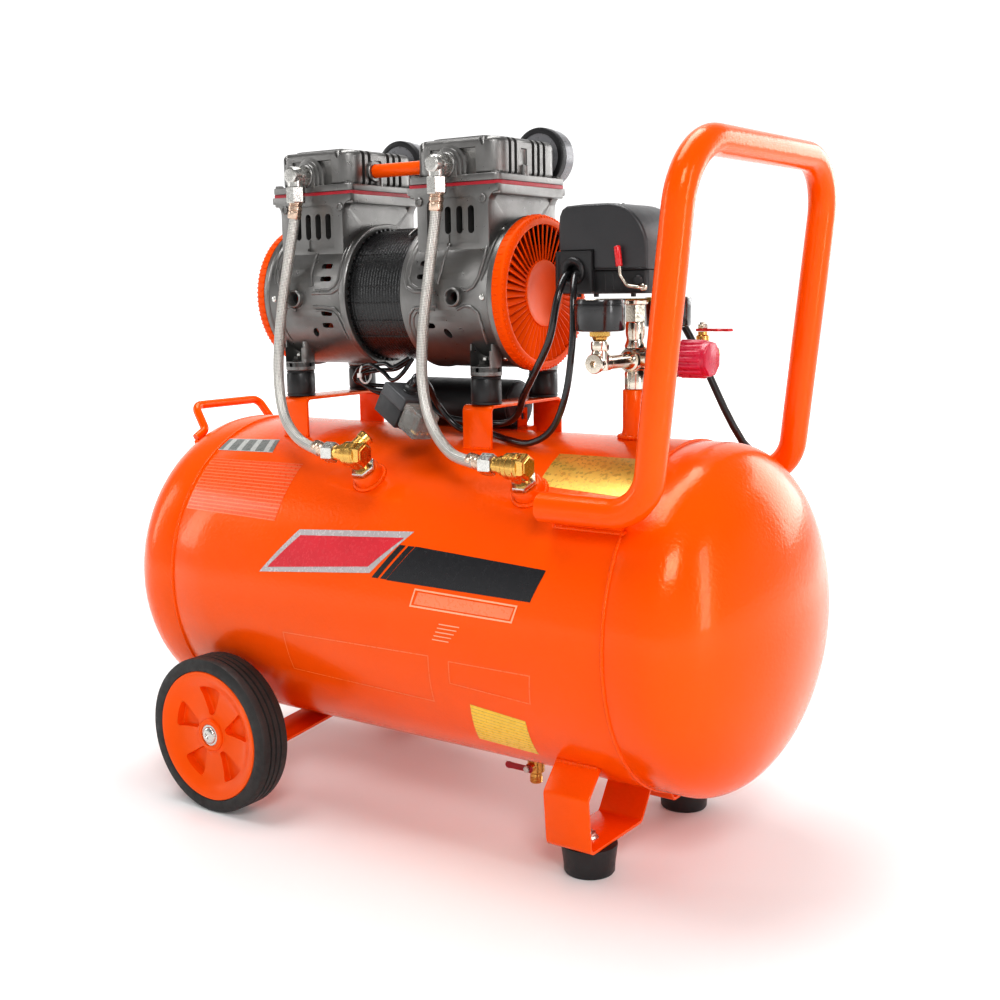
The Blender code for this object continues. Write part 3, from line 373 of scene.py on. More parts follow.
forms = [shell]
for x in (-seam, seam):
    forms.append(bead(ring_path((x, 0, tank_middle.z), tank_radius - 0.0002, (1, 0, 0), 90), 0.0016))
for x in (-0.0300, 0.1490):
    outward = on_tank(1, bung_turn, 0) - on_tank(0, bung_turn, 0)
    forms.append(turned(mm((8.5, 154), (15, 154), (14.6, 157), (14, 160), (14, 165), (12.8, 166.5),
                           (8.5, 166.5)), on_tank(0, 0, x), outward, 48, ring=True))
    forms.append(bead(ring_path(on_tank(0.1556, bung_turn, x), 0.0152, outward, 24), 0.0021))
forms.append(turned(mm((7, 369), (15, 369), (12.8, 373.8), (11.3, 379), (11, 386), (11, 414.7), (10.3, 415.5),
                       (7, 415.5)), (0.193, 0, 0), "Z", 48, ring=True))
forms.append(bead(ring_path((0.193, 0, 0.3736), 0.0136, (0, 0, 1), 24), 0.0022))
forms.append(turned(mm((5.2, 57), (9.8, 57), (10.5, 57.8), (10.5, 62), (13, 64), (5.2, 64)), (0.083, 0, 0), "Z",
                    40, ring=True))
made("tank", forms, enamel, stands_for=["tank_shell"], angle=50)

# ---- printed films on the tank ----
# Plain printed vinyl, stuck on after painting: a black band with its outlined strip, faint outlined panels,
# a gold and a grey plate film and a yellow one. They carry no lettering, only bars and rules.


def film(name, colour, rough=0.25, metallic=0.0, rules=None):
    """Glossy vinyl with slight ripples; rules adds thin pale bars across it, as on a blank form."""
    material = surface(name, colour, rough, metallic, tint=0.05, tint_scale=40, grain=0.00004, grain_scale=90,
                       coat=0.15)
    if rules:
        nodes, links = material.node_tree.nodes, material.node_tree.links
        uv = nodes.new("ShaderNodeUVMap")
        uv.uv_map = "UVMap"
        bricks = nodes.new("ShaderNodeTexBrick")
        bricks.inputs["Scale"].default_value = 1.0
        bricks.inputs["Brick Width"].default_value = rules[0]
        bricks.inputs["Row Height"].default_value = rules[1]
        bricks.inputs["Mortar Size"].default_value = rules[2]
        bricks.inputs["Mortar Smooth"].default_value = 0.1
        bricks.inputs["Mortar"].default_value = (*rules[3], 1)
        links.new(uv.outputs["UV"], bricks.inputs["Vector"])
        shader = nodes["Principled BSDF"]
        tone = shader.inputs["Base Color"].links[0].from_socket
        links.new(tone, bricks.inputs["Color1"])
        links.new(tone, bricks.inputs["Color2"])
        links.new(bricks.outputs["Color"], shader.inputs["Base Color"])
    return material


def patch(corners, lift=0.00025, rim=None):
    """A thin film wrapped on the cylinder between four (x, turn) corners, rear left first, then clockwise.
    With a rim, only a frame of that width along its edges."""
    form = bmesh.new()
    uv = form.loops.layers.uv.new("UVMap")

    def spot(u, v):
        x = (1 - v) * ((1 - u) * corners[0][0] + u * corners[1][0]) + v * ((1 - u) * corners[3][0] + u * corners[2][0])
        t = (1 - v) * ((1 - u) * corners[0][1] + u * corners[1][1]) + v * ((1 - u) * corners[3][1] + u * corners[2][1])
        return on_tank(tank_radius + lift, t, x)

    if rim:
        wide = (spot(1, 0) - spot(0, 0)).length
        tall = (spot(0, 1) - spot(0, 0)).length
        us = [0, rim / wide] + [rim / wide + (1 - 2 * rim / wide) * k / 18 for k in range(1,
                                                                                          18)] + [1 - rim / wide, 1]
        vs = [0, rim / tall] + [rim / tall + (1 - 2 * rim / tall) * k / 10 for k in range(1,
                                                                                          10)] + [1 - rim / tall, 1]
    else:
        us = [k / 20 for k in range(21)]
        vs = [k / 14 for k in range(15)]
    grid = [[form.verts.new(spot(u, v)) for u in us] for v in vs]
    for j in range(len(vs) - 1):
        for i in range(len(us) - 1):
            if rim and 0 < i < len(us) - 2 and 0 < j < len(vs) - 2:
                continue
            face = form.faces.new((grid[j][i], grid[j + 1][i], grid[j + 1][i + 1], grid[j][i + 1]))
            marks = ((i, j), (i, j + 1), (i + 1, j + 1), (i + 1, j))
            for loop, (a, b) in zip(face.loops, marks):
                loop[uv].uv = (us[a], vs[b])
    loose = [v for v in form.verts if not v.link_faces]
    bmesh.ops.delete(form, geom=loose, context="VERTS")
    return form


made("band_film", [patch([(0.0531, 64.9), (0.1910, 67.2), (0.1803, 77.4), (0.0269, 77.0)])],
     film("black_film", (0.016, 0.016, 0.018), 0.22))
for step in range(2):
    x = 0.0460 - 0.0100 * step
    made(f"slash_film_{step}", [patch([(x - 0.0010, 65.0), (x + 0.0060, 65.0), (x - 0.0190, 76.8),
                                       (x - 0.0260, 76.8)])],
         bpy.data.materials["black_film"])
made("flash_film", [patch([(-0.0872, 64.0), (0.0470, 60.0), (0.0070, 75.5), (-0.1290, 80.5)], 0.0002)],
     film("silver_film", (0.55, 0.50, 0.50), 0.25, 0.3))
made("flash_field_film", [patch([(-0.0840, 66.0), (0.0380, 62.5), (0.0040, 73.5), (-0.1190, 78.5)], 0.0003)],
     film("crimson_film", (0.62, 0.030, 0.045), 0.25))
pale = film("pale_film", (0.95, 0.42, 0.24), 0.3)
made("strip_film", [patch([(0.0600, 78.3), (0.1688, 78.9), (0.1640, 84.6), (0.0551, 84.4)], rim=0.0016)], pale)
made("strip_field_film", [patch([(0.0640, 79.4), (0.1650, 79.9), (0.1612, 83.6), (0.0600, 83.4)], 0.0002)],
     film("strip_field", (0.93, 0.22, 0.09), 0.3))
for step in range(5):
    turn = 88.4 + step * 1.35
    made(f"rule_film_{step}", [patch([(0.0880 - 0.002 * step, turn), (0.1100 - 0.003 * step, turn),
                                      (0.1100 - 0.003 * step, turn + 0.35),
                                      (0.0880 - 0.002 * step, turn + 0.35)])], pale)
faint = film("faint_film", (0.93, 0.17, 0.035), 0.3)
made("left_panel_film", [patch([(-0.1020, 101.0), (0.0740, 99.8), (0.0671, 118.4), (-0.1020, 116.5)],
                               rim=0.0010)], faint)
made("right_panel_film", [patch([(0.0951, 100.5), (0.1804, 100.3), (0.1755, 111.0), (0.0920, 109.0)],
                                rim=0.0010)], faint)
made("table_film", [patch([(-0.2455, 38.9), (-0.1216, 38.0), (-0.1216, 62.1), (-0.2455, 61.3)])],
     film("table_film", (0.90, 0.085, 0.006), 0.3, rules=(40.0, 0.062, 0.009, (0.80, 0.20, 0.08))))
made("grey_plate_film", [patch([(-0.2475, 27.2), (-0.1800, 25.4), (-0.1724, 33.4), (-0.2480, 34.4)])],
     film("grey_film", (0.17, 0.18, 0.17), 0.3, rules=(0.25, 1.0, 0.05, (0.45, 0.46, 0.44))))
made("gold_plate_film", [patch([(0.1500, 21.5), (0.2380, 21.5), (0.2440, 40.3), (0.1527, 38.3)])],
     film("gold_film", (0.66, 0.42, 0.08), 0.30, 0.6))
made("yellow_film", [patch([(0.1082, 116.1), (0.1640, 118.8), (0.1560, 138.0), (0.0950, 135.5)])],
     film("yellow_film", (0.93, 0.60, 0.04), 0.3, rules=(2.0, 0.085, 0.010, (0.55, 0.36, 0.05))))

# ---- handles ----
# The main handle is one 25 mm tube, mandrel-bent and welded on two plate saddles; the small handle at the other
# end is a 9 mm bar with its feet welded to the dome. Both are sprayed with the tank.


def bent(points, radii, steps=12):
    """Straight runs with each inner corner rounded to its radius."""
    points = [Vector(p) for p in points]
    path = [points[0]]
    for before, corner, after, r in zip(points, points[1:], points[2:], radii):
        u = (before - corner).normalized()
        v = (after - corner).normalized()
        half_angle = u.angle(v) / 2
        centre = corner + (u + v).normalized() * (r / math.sin(half_angle))
        first = corner + u * (r / math.tan(half_angle)) - centre
        last = corner + v * (r / math.tan(half_angle)) - centre
        sweep = first.angle(last)
        for i in range(steps + 1):
            t = i / steps
            arm = (first * math.sin((1 - t) * sweep) + last * math.sin(t * sweep)) / math.sin(sweep)
            path.append(centre + arm)
    path.append(points[-1])
    return path


def brick(low, high, bevel=0.0, segments=2, matrix=None):
    """A box between two corners with rounded edges."""
    low, high = Vector(low), Vector(high)
    form = bmesh.new()
    bmesh.ops.create_cube(form, size=1.0)
    bmesh.ops.scale(form, vec=high - low, verts=form.verts)
    bmesh.ops.translate(form, vec=(low + high) / 2, verts=form.verts)
    if bevel:
        bmesh.ops.bevel(form, geom=form.edges[:], offset=bevel, segments=segments, affect="EDGES", profile=0.5)
    if matrix is not None:
        form.transform(matrix)
    return form


legs = mm((183, -138, 329.1), (280.7, -138, 329.1), (312.2, -138, 614.6))
rail = bent(legs + [(x, -y, z) for x, y, z in reversed(legs)], [0.036, 0.052, 0.052, 0.036], 16)
step_in = Vector((0.0008, 0, 0))
tube_path = [rail[0], rail[0] + step_in] + rail[1:-1] + [rail[-1] + step_in, rail[-1]]
radii = [0.0118] + [0.0125] * (len(tube_path) - 2) + [0.0118]
forms = [bar(tube_path, radii, 40)]
lean_out = math.degrees(math.atan2(0.138, 0.3291 - tank_middle.z))
for sign in (-1, 1):
    middle = on_tank(0.1640, -sign * lean_out, 0.220)
    place = Matrix.Translation(middle) @ Matrix.Rotation(math.radians(-sign * lean_out), 4, "X")
    forms.append(brick((-0.0320, -0.0045, -0.0130), (0.0320, 0.0045, 0.0070), 0.0008, 2, place))
    for edge in (-1, 1):
        turn = -sign * lean_out + edge * math.degrees(0.0050 / tank_radius)
        forms.append(bead([on_tank(tank_radius + 0.0003, turn, x) for x in (0.186, 0.205, 0.235, 0.254)],
                          0.0021))
        turn = -sign * lean_out + edge * math.degrees(0.0048 / 0.166)
        forms.append(bead([on_tank(0.1664, turn, x) for x in (0.190, 0.205, 0.235, 0.250)], 0.0016))
made("loop_handle", forms, enamel, stands_for=["main_handle"], angle=40)
side = mm((-306.5, -64, 352.5), (-306, -51, 360), (-325, -47, 385))
grip = bent(side + [(x, -y, z) for x, y, z in reversed(side)], [0.007, 0.010, 0.010, 0.007], 8)
forms = [bar(grip, 0.0045, 20)]
for sign in (-1, 1):
    forms.append(bead([Vector((-0.3070, sign * 0.0600, 0.3480)), Vector((-0.3060, sign * 0.0640, 0.3478)),
                       Vector((-0.3035, sign * 0.0660, 0.3490))], 0.0024))
made("small_bar_handle", forms, enamel, stands_for=["small_handle"], angle=40)

# ---- rear wheels, their brackets and axle bolts ----
# A bent steel strip welded under the tank carries a zinc-plated bolt. The wheel is an orange moulded rim of
# five petals in a dished lip, with a solid rubber tyre of four tread ribs pressed over it.


def repeated(form, count, step=(0, 0, 0), turn=0.0, material=None):
    """Copies of one form in a row or turned about Z, by Geometry Nodes, read back as a plain mesh form."""
    tree = bpy.data.node_groups.get("row_or_ring")
    if not tree:
        tree = bpy.data.node_groups.new("row_or_ring", "GeometryNodeTree")
        face = tree.interface
        face.new_socket("Geometry", in_out="INPUT", socket_type="NodeSocketGeometry")
        face.new_socket("Count", in_out="INPUT", socket_type="NodeSocketInt")
        face.new_socket("Step", in_out="INPUT", socket_type="NodeSocketVector")
        face.new_socket("Turn", in_out="INPUT", socket_type="NodeSocketFloat")
        face.new_socket("Finish", in_out="INPUT", socket_type="NodeSocketMaterial")
        face.new_socket("Geometry", in_out="OUTPUT", socket_type="NodeSocketGeometry")
        nodes, links = tree.nodes, tree.links
        given = nodes.new("NodeGroupInput")
        index = nodes.new("GeometryNodeInputIndex")
        spots = nodes.new("GeometryNodePoints")
        shift = nodes.new("ShaderNodeVectorMath")
        shift.operation = "SCALE"
        angle = nodes.new("ShaderNodeMath")
        angle.operation = "MULTIPLY"
        spin = nodes.new("ShaderNodeCombineXYZ")
        copies = nodes.new("GeometryNodeInstanceOnPoints")
        real = nodes.new("GeometryNodeRealizeInstances")
        paint = nodes.new("GeometryNodeSetMaterial")
        result = nodes.new("NodeGroupOutput")
        links.new(given.outputs["Count"], spots.inputs["Count"])
        links.new(given.outputs["Step"], shift.inputs[0])
        links.new(index.outputs["Index"], shift.inputs["Scale"])
        links.new(shift.outputs["Vector"], spots.inputs["Position"])
        links.new(index.outputs["Index"], angle.inputs[0])
        links.new(given.outputs["Turn"], angle.inputs[1])
        links.new(angle.outputs["Value"], spin.inputs["Z"])
        links.new(spots.outputs["Points"], copies.inputs["Points"])
        links.new(given.outputs["Geometry"], copies.inputs["Instance"])
        links.new(spin.outputs["Vector"], copies.inputs["Rotation"])
        links.new(copies.outputs["Instances"], real.inputs["Geometry"])
        links.new(real.outputs["Geometry"], paint.inputs["Geometry"])
        links.new(given.outputs["Finish"], paint.inputs["Material"])
        links.new(paint.outputs["Geometry"], result.inputs["Geometry"])
    mesh = bpy.data.meshes.new("pattern_item")
    form.to_mesh(mesh)
    form.free()
    item = bpy.data.objects.new("pattern_item", mesh)
    bpy.context.scene.collection.objects.link(item)
    modifier = item.modifiers.new("repeat", "NODES")
    modifier.node_group = tree
    values = {"Count": count, "Step": tuple(float(v) for v in step), "Turn": turn, "Finish": material or enamel}
    for socket in tree.interface.items_tree:
        if socket.in_out == "INPUT" and socket.name in values:
            modifier[socket.identifier] = values[socket.name]
    bpy.context.view_layer.update()
    graph = bpy.context.evaluated_depsgraph_get()
    copied = bpy.data.meshes.new_from_object(item.evaluated_get(graph))
    bpy.data.objects.remove(item, do_unlink=True)
    form = bmesh.new()
    form.from_mesh(copied)
    for face in form.faces:
        face.material_index = 0
    bpy.data.meshes.remove(copied)
    bpy.data.meshes.remove(mesh)
    return form


def carved(form, *tools, operation="DIFFERENCE"):
    """The form with other forms cut away from it, or fused to it, by exact Booleans."""
    def holder(source):
        mesh = bpy.data.meshes.new("carving")
        source.to_mesh(mesh)
        source.free()
        item = bpy.data.objects.new("carving", mesh)
        bpy.context.scene.collection.objects.link(item)
        return item
    target = holder(form)
    used = [holder(tool) for tool in tools]
    for tool in used:
        step = target.modifiers.new("carve", "BOOLEAN")
        step.operation = operation
        step.object = tool
    bpy.context.view_layer.update()
    graph = bpy.context.evaluated_depsgraph_get()
    result = bpy.data.meshes.new_from_object(target.evaluated_get(graph))
    for item in [target] + used:
        bpy.data.objects.remove(item, do_unlink=True)
    form = bmesh.new()
    form.from_mesh(result)
    return form


def arc(radius, start, end, steps, centre=(0.0, 0.0)):
    points = []
    for i in range(steps + 1):
        angle = math.radians(start + (end - start) * i / steps)
        points.append((centre[0] + radius * math.cos(angle), centre[1] + radius * math.sin(angle)))
    return points


def slab(outline, thickness, place, bevel=0.0, segments=2):
    """A flat outline in XY, given its thickness on both sides of the plane and rounded at its rims."""
    form = bmesh.new()
    low = [form.verts.new((x, y, -thickness / 2)) for x, y in outline]
    high = [form.verts.new((x, y, thickness / 2)) for x, y in outline]
    form.faces.new(reversed(low))
    form.faces.new(high)
    count = len(outline)
    for i in range(count):
        j = (i + 1) % count
        form.faces.new((low[i], low[j], high[j], high[i]))
    bmesh.ops.recalc_face_normals(form, faces=form.faces)
    if bevel:
        rims = [e for e in form.edges if abs(e.verts[0].co.z - e.verts[1].co.z) < 1e-7]
        bmesh.ops.bevel(form, geom=rims, offset=bevel, segments=segments, affect="EDGES", profile=0.5)
    form.transform(place)
    return form


def bent_strip(path, middle_x, width, thickness=0.003, bevel=0.0006):
    """Flat steel strip bent along a path in the YZ plane, its cut edges slightly rounded."""
    path = [Vector((0, p[0], p[1])) for p in path]
    outer, inner = [], []
    for i, point in enumerate(path):
        before = (point - path[i - 1]).normalized() if i else (path[1] - point).normalized()
        after = (path[i + 1] - point).normalized() if i < len(path) - 1 else before
        middle = (before + after).normalized()
        normal = Vector((0, -middle.z, middle.y))
        reach = thickness / 2 / max(0.3, normal.dot(Vector((0, -before.z, before.y))))
        outer.append(point + normal * reach)
        inner.append(point - normal * reach)
    outline = outer + inner[::-1]
    form = bmesh.new()
    low = [form.verts.new((middle_x - width / 2, p.y, p.z)) for p in outline]
    high = [form.verts.new((middle_x + width / 2, p.y, p.z)) for p in outline]
    count, last = len(outline), len(path) - 1
    for i in range(count):
        j = (i + 1) % count
        form.faces.new((low[i], low[j], high[j], high[i]))
    for row in (low, high):
        for i in range(last):
            form.faces.new((row[i], row[i + 1], row[count - 2 - i], row[count - 1 - i]))
    bmesh.ops.recalc_face_normals(form, faces=form.faces)
    rims = [e for e in form.edges if abs(e.verts[0].co.x - e.verts[1].co.x) < 1e-7
            and len(e.link_faces) == 2 and e.calc_face_angle(0) > 1.0]
    bmesh.ops.bevel(form, geom=rims, offset=bevel, segments=2, affect="EDGES", profile=0.5)
    return form


zinc = surface("zinc_plate", (0.62, 0.61, 0.58), 0.26, 1.0, tint=0.12, tint_scale=60, grain=0.00004, scuff=0.10)
orange_moulding = surface("orange_moulding", (0.88, 0.092, 0.0), 0.34, tint=0.04, tint_scale=14, grain=0.00006,
                          grain_scale=700, scuff=0.06)
reflections(orange_moulding, 0.50, (1.0, 0.60, 0.30, 1))
tyre_rubber = surface("tyre_rubber", (0.022, 0.021, 0.020), 0.58, tint=0.35, tint_scale=22, grain=0.00018,
                      grain_scale=420, scuff=0.12)
wheel_x, wheel_z = -0.183, 0.0774
for sign, place in ((-1, "front"), (1, "rear")):
    flange = sign * 0.1335
    top = tank_middle.z - math.sqrt(tank_radius ** 2 - 0.1335 ** 2)
    path = [(p.y, p.z) for p in bent([(0, flange, top), (0, flange, 0.0470), (0, sign * 0.0122, 0.0600)],
                                     [0.008], 8)]
    strip_form = bent_strip(path, wheel_x, 0.042)
    seam_path = [Vector((wheel_x + dx, flange - sign * 0.001, top + 0.0008)) for dx in (-0.0205, -0.007, 0.007,
                                                                                        0.0205)]
    made(f"wheel_strip_{place}", [strip_form, bead(seam_path, 0.0022)], enamel,
         stands_for=[f"wheel_bracket_{place}"], angle=40)
    middle = Vector((wheel_x, sign * 0.1635, wheel_z))
    outward = "Y" if sign > 0 else "-Y"
    bolt = turned(mm((0, 17), (5, 16.8), (7.2, 16), (8.4, 14.6), (8.6, 13.6), (10.4, 13.4), (10.5, 12.7),
        (6, 12.5), (6, -17.2), (9.4, -17.2), (9.4, -28.3), (6, -28.3), (6, -31.8), (10, -31.8), (10.2, -33),
                     (10, -39.2), (0, -39.2)), middle, outward, 40)
    arms = [brick((-0.0030, -0.0007, 0.0158), (0.0030, 0.0007, 0.0180)), brick((-0.0007, -0.0030, 0.0158),
                                                                            (0.0007, 0.0030, 0.0180))]
    spin = Matrix.Translation(middle) @ Matrix.Rotation(sign * -math.pi / 2, 4, "X") @ Matrix.Rotation(0.6, 4,
                                                                                                       "Z")
    for arm in arms:
        arm.transform(spin)
    made(f"axle_bolt_{place}", [carved(bolt, *arms)], zinc, stands_for=[f"axle_{place}"])
    rim = turned(mm((10.5, 13), (11.2, 14.2), (14.8, 14), (16.2, 12.8), (16.6, 11.2), (19, 10), (25, 8.8),
        (40, 9.2), (47.5, 10.8), (52.5, 13.6), (56, 15.6), (59, 16.6), (62.5, 17.4), (64, 17.3), (64.6, 16.4),
        (64.6, -15.5), (63, -17.5), (57, -16), (52, -1.5), (17.5, -1.5), (16, -16.5), (6.5, -16.5), (6.5, 11.8),
                    (10, 12)), (0, 0, 0), "Z", 120, ring=True)
    pocket = slab(arc(0.0195, -8, 8, 3) + arc(0.0485, 17.5, -17.5, 10), 0.016,
                  Matrix.Translation((0, 0, 0.0105)))
    corners = [e for e in pocket.edges if abs(e.verts[0].co.z - e.verts[1].co.z) > 0.01
               and e.calc_face_angle(0) > 0.7]
    bmesh.ops.bevel(pocket, geom=corners, offset=0.0035, segments=4, affect="EDGES", profile=0.5)
    floor_rim = [e for e in pocket.edges if max(v.co.z for v in e.verts) < 0.003]
    bmesh.ops.bevel(pocket, geom=floor_rim, offset=0.0016, segments=3, affect="EDGES", profile=0.5)
    pockets = repeated(pocket, 5, turn=math.radians(72), material=orange_moulding)
    rim = carved(rim, pockets)
    local = Matrix(((1, 0, 0), (0, 0, sign), (0, 1, 0))).to_4x4()
    rim.transform(Matrix.Translation(middle) @ local @ Matrix.Rotation(math.radians(17.7), 4, "Z"))
    bmesh.ops.recalc_face_normals(rim, faces=rim.faces)
    made(f"petal_rim_{place}", [rim], orange_moulding, f"wheel_{place}", [f"wheel_rim_{place}"], angle=32)
    tread = mm((64.9, 16.8), (66.2, 17.4), (70, 17.5), (74.5, 17), (76.5, 15.8), (77.3, 13.8))
    for low, high in ((0.0070, 0.0060), (0.0005, -0.0005), (-0.0060, -0.0070)):
        tread += [(0.0774, low + 0.0006), (0.0757, low), (0.0757, high), (0.0774, high - 0.0006)]
    tread += mm((77.3, -13.8), (76.5, -15.8), (74.5, -17), (70, -17.5), (66.2, -17.4), (64.9, -16.8))
    made(f"solid_tyre_{place}", [turned(tread, middle, outward, 144, ring=True)], tyre_rubber, f"wheel_{place}",
         [f"tyre_{place}"], angle=30)

# ---- front feet ----
# Each is a 45 mm strip folded from the tank's side, in under a rubber foot and up to its belly, where it is
# welded. A bolt through the strip holds the tapered rubber foot, its nut inside the fold.


def rod(radius, low, high, centre=(0, 0, 0), axis="Z", steps=64):
    """A plain round or many-sided bar between two heights."""
    return turned([(0.0, low), (radius, low), (radius, high), (0.0, high)], centre, axis, steps)


foot_rubber = rubber("foot_rubber", 0.016, 0.45, 0.00016)
for sign, place in ((-1, "front"), (1, "rear")):
    fold = bent([(0, sign * 0.1020, 0.1005), (0, sign * 0.1225, 0.0780), (0, sign * 0.1180, 0.0290),
                 (0, sign * 0.0310, 0.0290), (0, sign * 0.0062, 0.0660)], [0.006, 0.006, 0.006], 8)
    strip_form = bent_strip([(p.y, p.z) for p in fold], 0.1955, 0.045)
    run = [Vector((0.1955 + dx, sign * 0.1035, 0.1010)) for dx in (-0.021, -0.007, 0.007, 0.021)]
    hexagon = rod(0.0063, 0.0305, 0.0352, (0.198, sign * 0.089, 0), "Z", 6)
    stud = turned(mm((0, 34.5), (3, 34.5), (3, 37.2), (0, 37.5)), (0.198, sign * 0.089, 0), "Z", 20)
    washer = rod(0.0082, 0.0300, 0.0312, (0.198, sign * 0.089, 0), "Z", 28)
    made(f"foot_strip_{place}", [strip_form, bead(run, 0.0022)], enamel, stands_for=[f"foot_bracket_{place}"],
         angle=40)
    made(f"foot_nut_{place}", [hexagon, stud, washer], zinc)
    pad = turned(mm((0, 26.8), (23.5, 26.8), (24.8, 26.2), (25, 24.5), (24.3, 20), (22.8, 8.5), (22.4, 1.5),
                    (21.5, 0.2), (19.5, 0), (0, 0)),
                 (0.198, sign * 0.089, 0), "Z", 72)
    made(f"tapered_foot_{place}", [pad], foot_rubber, stands_for=[f"rubber_foot_{place}"])

# ---- drain valve ----
# A small brass ball valve screwed up into the drain boss, its steel lever in a crimson vinyl sleeve held by
# a nut on the stem.
brass = surface("turned_brass", (0.72, 0.44, 0.13), 0.24, 1.0, tint=0.10, tint_scale=50, grain=0.00005,
                scuff=0.08)
crimson_vinyl = surface("crimson_vinyl", (0.42, 0.012, 0.022), 0.34, tint=0.12, tint_scale=40, grain=0.00008,
                        scuff=0.06)
drain_at = Vector((0.083, 0, 0))
forms = [turned(mm((0, 66), (4.8, 66), (5, 57.5), (7, 56.6), (7, 53.5), (8.4, 52), (8.4, 40), (7, 38.5),
                   (5.8, 37.5), (6, 35), (6, 29), (5.2, 28.1), (3.6, 28.1), (3.6, 33), (0, 33)), drain_at, "Z",
                40),
         rod(0.0085, 0.0568, 0.0535, drain_at, "Z", 6),
         turned(mm((0, 0), (4.6, 0), (4.5, 12), (4, 13), (0, 13)),
                (0.083, 0, 0.046), "-Y", 28)]
forms += [turned([(0.0058, z), (0.0063, z + 0.0006), (0.0058, z + 0.0012)], drain_at, "Z", 32, ring=True)
          for z in (0.0290, 0.0305, 0.0320, 0.0335)]
made("drain_cock", forms, brass, stands_for=["drain_valve"])
lever = slab(mm((-25.5, 3), (-6, 3), (0, 3)) + arc(0.0045, 60, -60, 8, (0.001, 0.0))
             + mm((0, -3), (-25.5, -3)) + arc(0.0030, 250, 110, 6, (-0.0232, 0.0)),
             0.0022, Matrix.Translation((0.083, -0.01455, 0.046)) @ Matrix.Rotation(math.pi / 2, 4, "X"),
             0.0007)
made("drain_handle", [lever], crimson_vinyl, "drain_lever", ["drain_lever"])
made("drain_handle_nut", [turned(mm((0, 15.7), (3.6, 15.7), (3.6, 17.6), (3, 18), (0, 18)), (0.083, 0, 0.046),
                                 "-Y", 6)], zinc, "drain_lever")

# ---- pump stands and rubber mounts ----
# Two folded steel bridges are welded to the tank. Four round rubber mounts with steel end plates are bolted
# through them and carry the pump's cast lugs.
pump_x, pump_z = -0.051, 0.5004
mount_rubber = rubber("mount_rubber", 0.010, 0.38, 0.00010)
dark_bolt = surface("blackened_bolt", (0.06, 0.058, 0.055), 0.40, 0.8, tint=0.3, tint_scale=90, grain=0.00008)
for side, sign in (("left", -1), ("right", 1)):
    top = 0.401 - 0.0015
    foot = tank_middle.z + math.sqrt(tank_radius ** 2 - 0.058 ** 2)
    fold = bent([(0, -0.058, foot), (0, -0.058, top), (0, 0.058, top), (0, 0.058, foot)], [0.005, 0.005], 8)
    middle_x = pump_x + sign * 0.113
    welds = [bead([Vector((middle_x + dx, y * 0.0595, foot + 0.0002)) for dx in (-0.015, -0.005, 0.005, 0.015)],
                  0.0018)
             for y in (-1, 1)]
    made(f"bridge_{side}", [bent_strip([(p.y, p.z) for p in fold], middle_x, 0.032)] + welds, enamel,
         stands_for=[f"pump_stand_{side}"], angle=40)
    for y, place in ((-0.047, "front"), (0.047, "rear")):
        at = Vector((pump_x + sign * 0.1155, y, 0.4013))
        made(f"round_mount_{side}_{place}",
             [turned(mm((0, 25.2), (13.4, 25.2), (14, 24.6), (14, 24), (13.2, 23.6), (14.1, 22), (14.2, 4),
                        (13.6, 2.6), (14.2, 2), (14.2, 0.6), (13.6, 0), (0, 0)), at, "Z", 64)],
             mount_rubber, stands_for=[f"rubber_mount_{side}_{place}"])
        made(f"mount_stud_{side}_{place}",
             [turned(mm((0, 436.6), (5.8, 436.6), (6, 437.2), (6, 440.4), (5.4, 441.2), (0, 441.2)),
                     (at.x, y * 1.02, 0), "Z", 6),
              rod(0.0078, 0.4366, 0.4376, (at.x, y * 1.02, 0), "Z", 32)],
             dark_bolt)
        made(f"stud_tip_{side}_{place}",
             [turned(mm((0, 440), (2.7, 440), (2.7, 443.6), (2.1, 444.4), (0, 444.4)),
                     (at.x, y * 1.02, 0), "Z", 20)], zinc)

# ---- crankcases ----
# Pressure die-cast aluminium bells, shot-blasted to a fine dull grey. Each carries a square cylinder neck
# with cooling slots, raised ribs, a port boss and two pocketed lugs that stand on the rubber mounts.
cast = surface("blasted_aluminium", (0.200, 0.196, 0.190), 0.33, 0.82, tint=0.14, tint_scale=30, grain=0.00013,
               grain_scale=1500, scuff=0.06)


def rounded(width, depth, radius, steps=6, middle=(0.0, 0.0)):
    """Outline of a rectangle with round corners, centred on a point."""
    outline = []
    for cx, cy, start in ((1, 1, 0), (-1, 1, 90), (-1, -1, 180), (1, -1, 270)):
        centre = (middle[0] + cx * (width / 2 - radius), middle[1] + cy * (depth / 2 - radius))
        outline += arc(radius, start, start + 90, steps, centre)
    return outline


def level(outline, low, high, bevel=0.0, segments=3):
    """An outline in plan, raised from one height to another."""
    return slab(outline, high - low, Matrix.Translation((0, 0, (low + high) / 2)), bevel, segments)


def upright(outline, front, back, bevel=0.0, segments=2):
    """An outline in elevation (x, z), between two depths in Y."""
    place = Matrix.Translation((0, (front + back) / 2, 0)) @ Matrix.Rotation(math.pi / 2, 4, "X")
    return slab(outline, back - front, place, bevel, segments)


def pill(x, z, width, height):
    """Outline of a slot with round ends."""
    return rounded(width, height, min(width, height) / 2 - 0.00005, 6, (x, z))


def on_bell(x, turn, lift=0.0):
    angle = math.radians(turn)
    return Vector((x, -(0.068 + lift) * math.sin(angle), pump_z + (0.068 + lift) * math.cos(angle)))


def mirrored(form, sign, about):
    """The form mirrored across the plane at X = about when sign is negative."""
    if sign < 0:
        bmesh.ops.scale(form, vec=(-1, 1, 1), verts=form.verts, space=Matrix.Translation((-about, 0, 0)))
        bmesh.ops.reverse_faces(form, faces=form.faces)
    return form


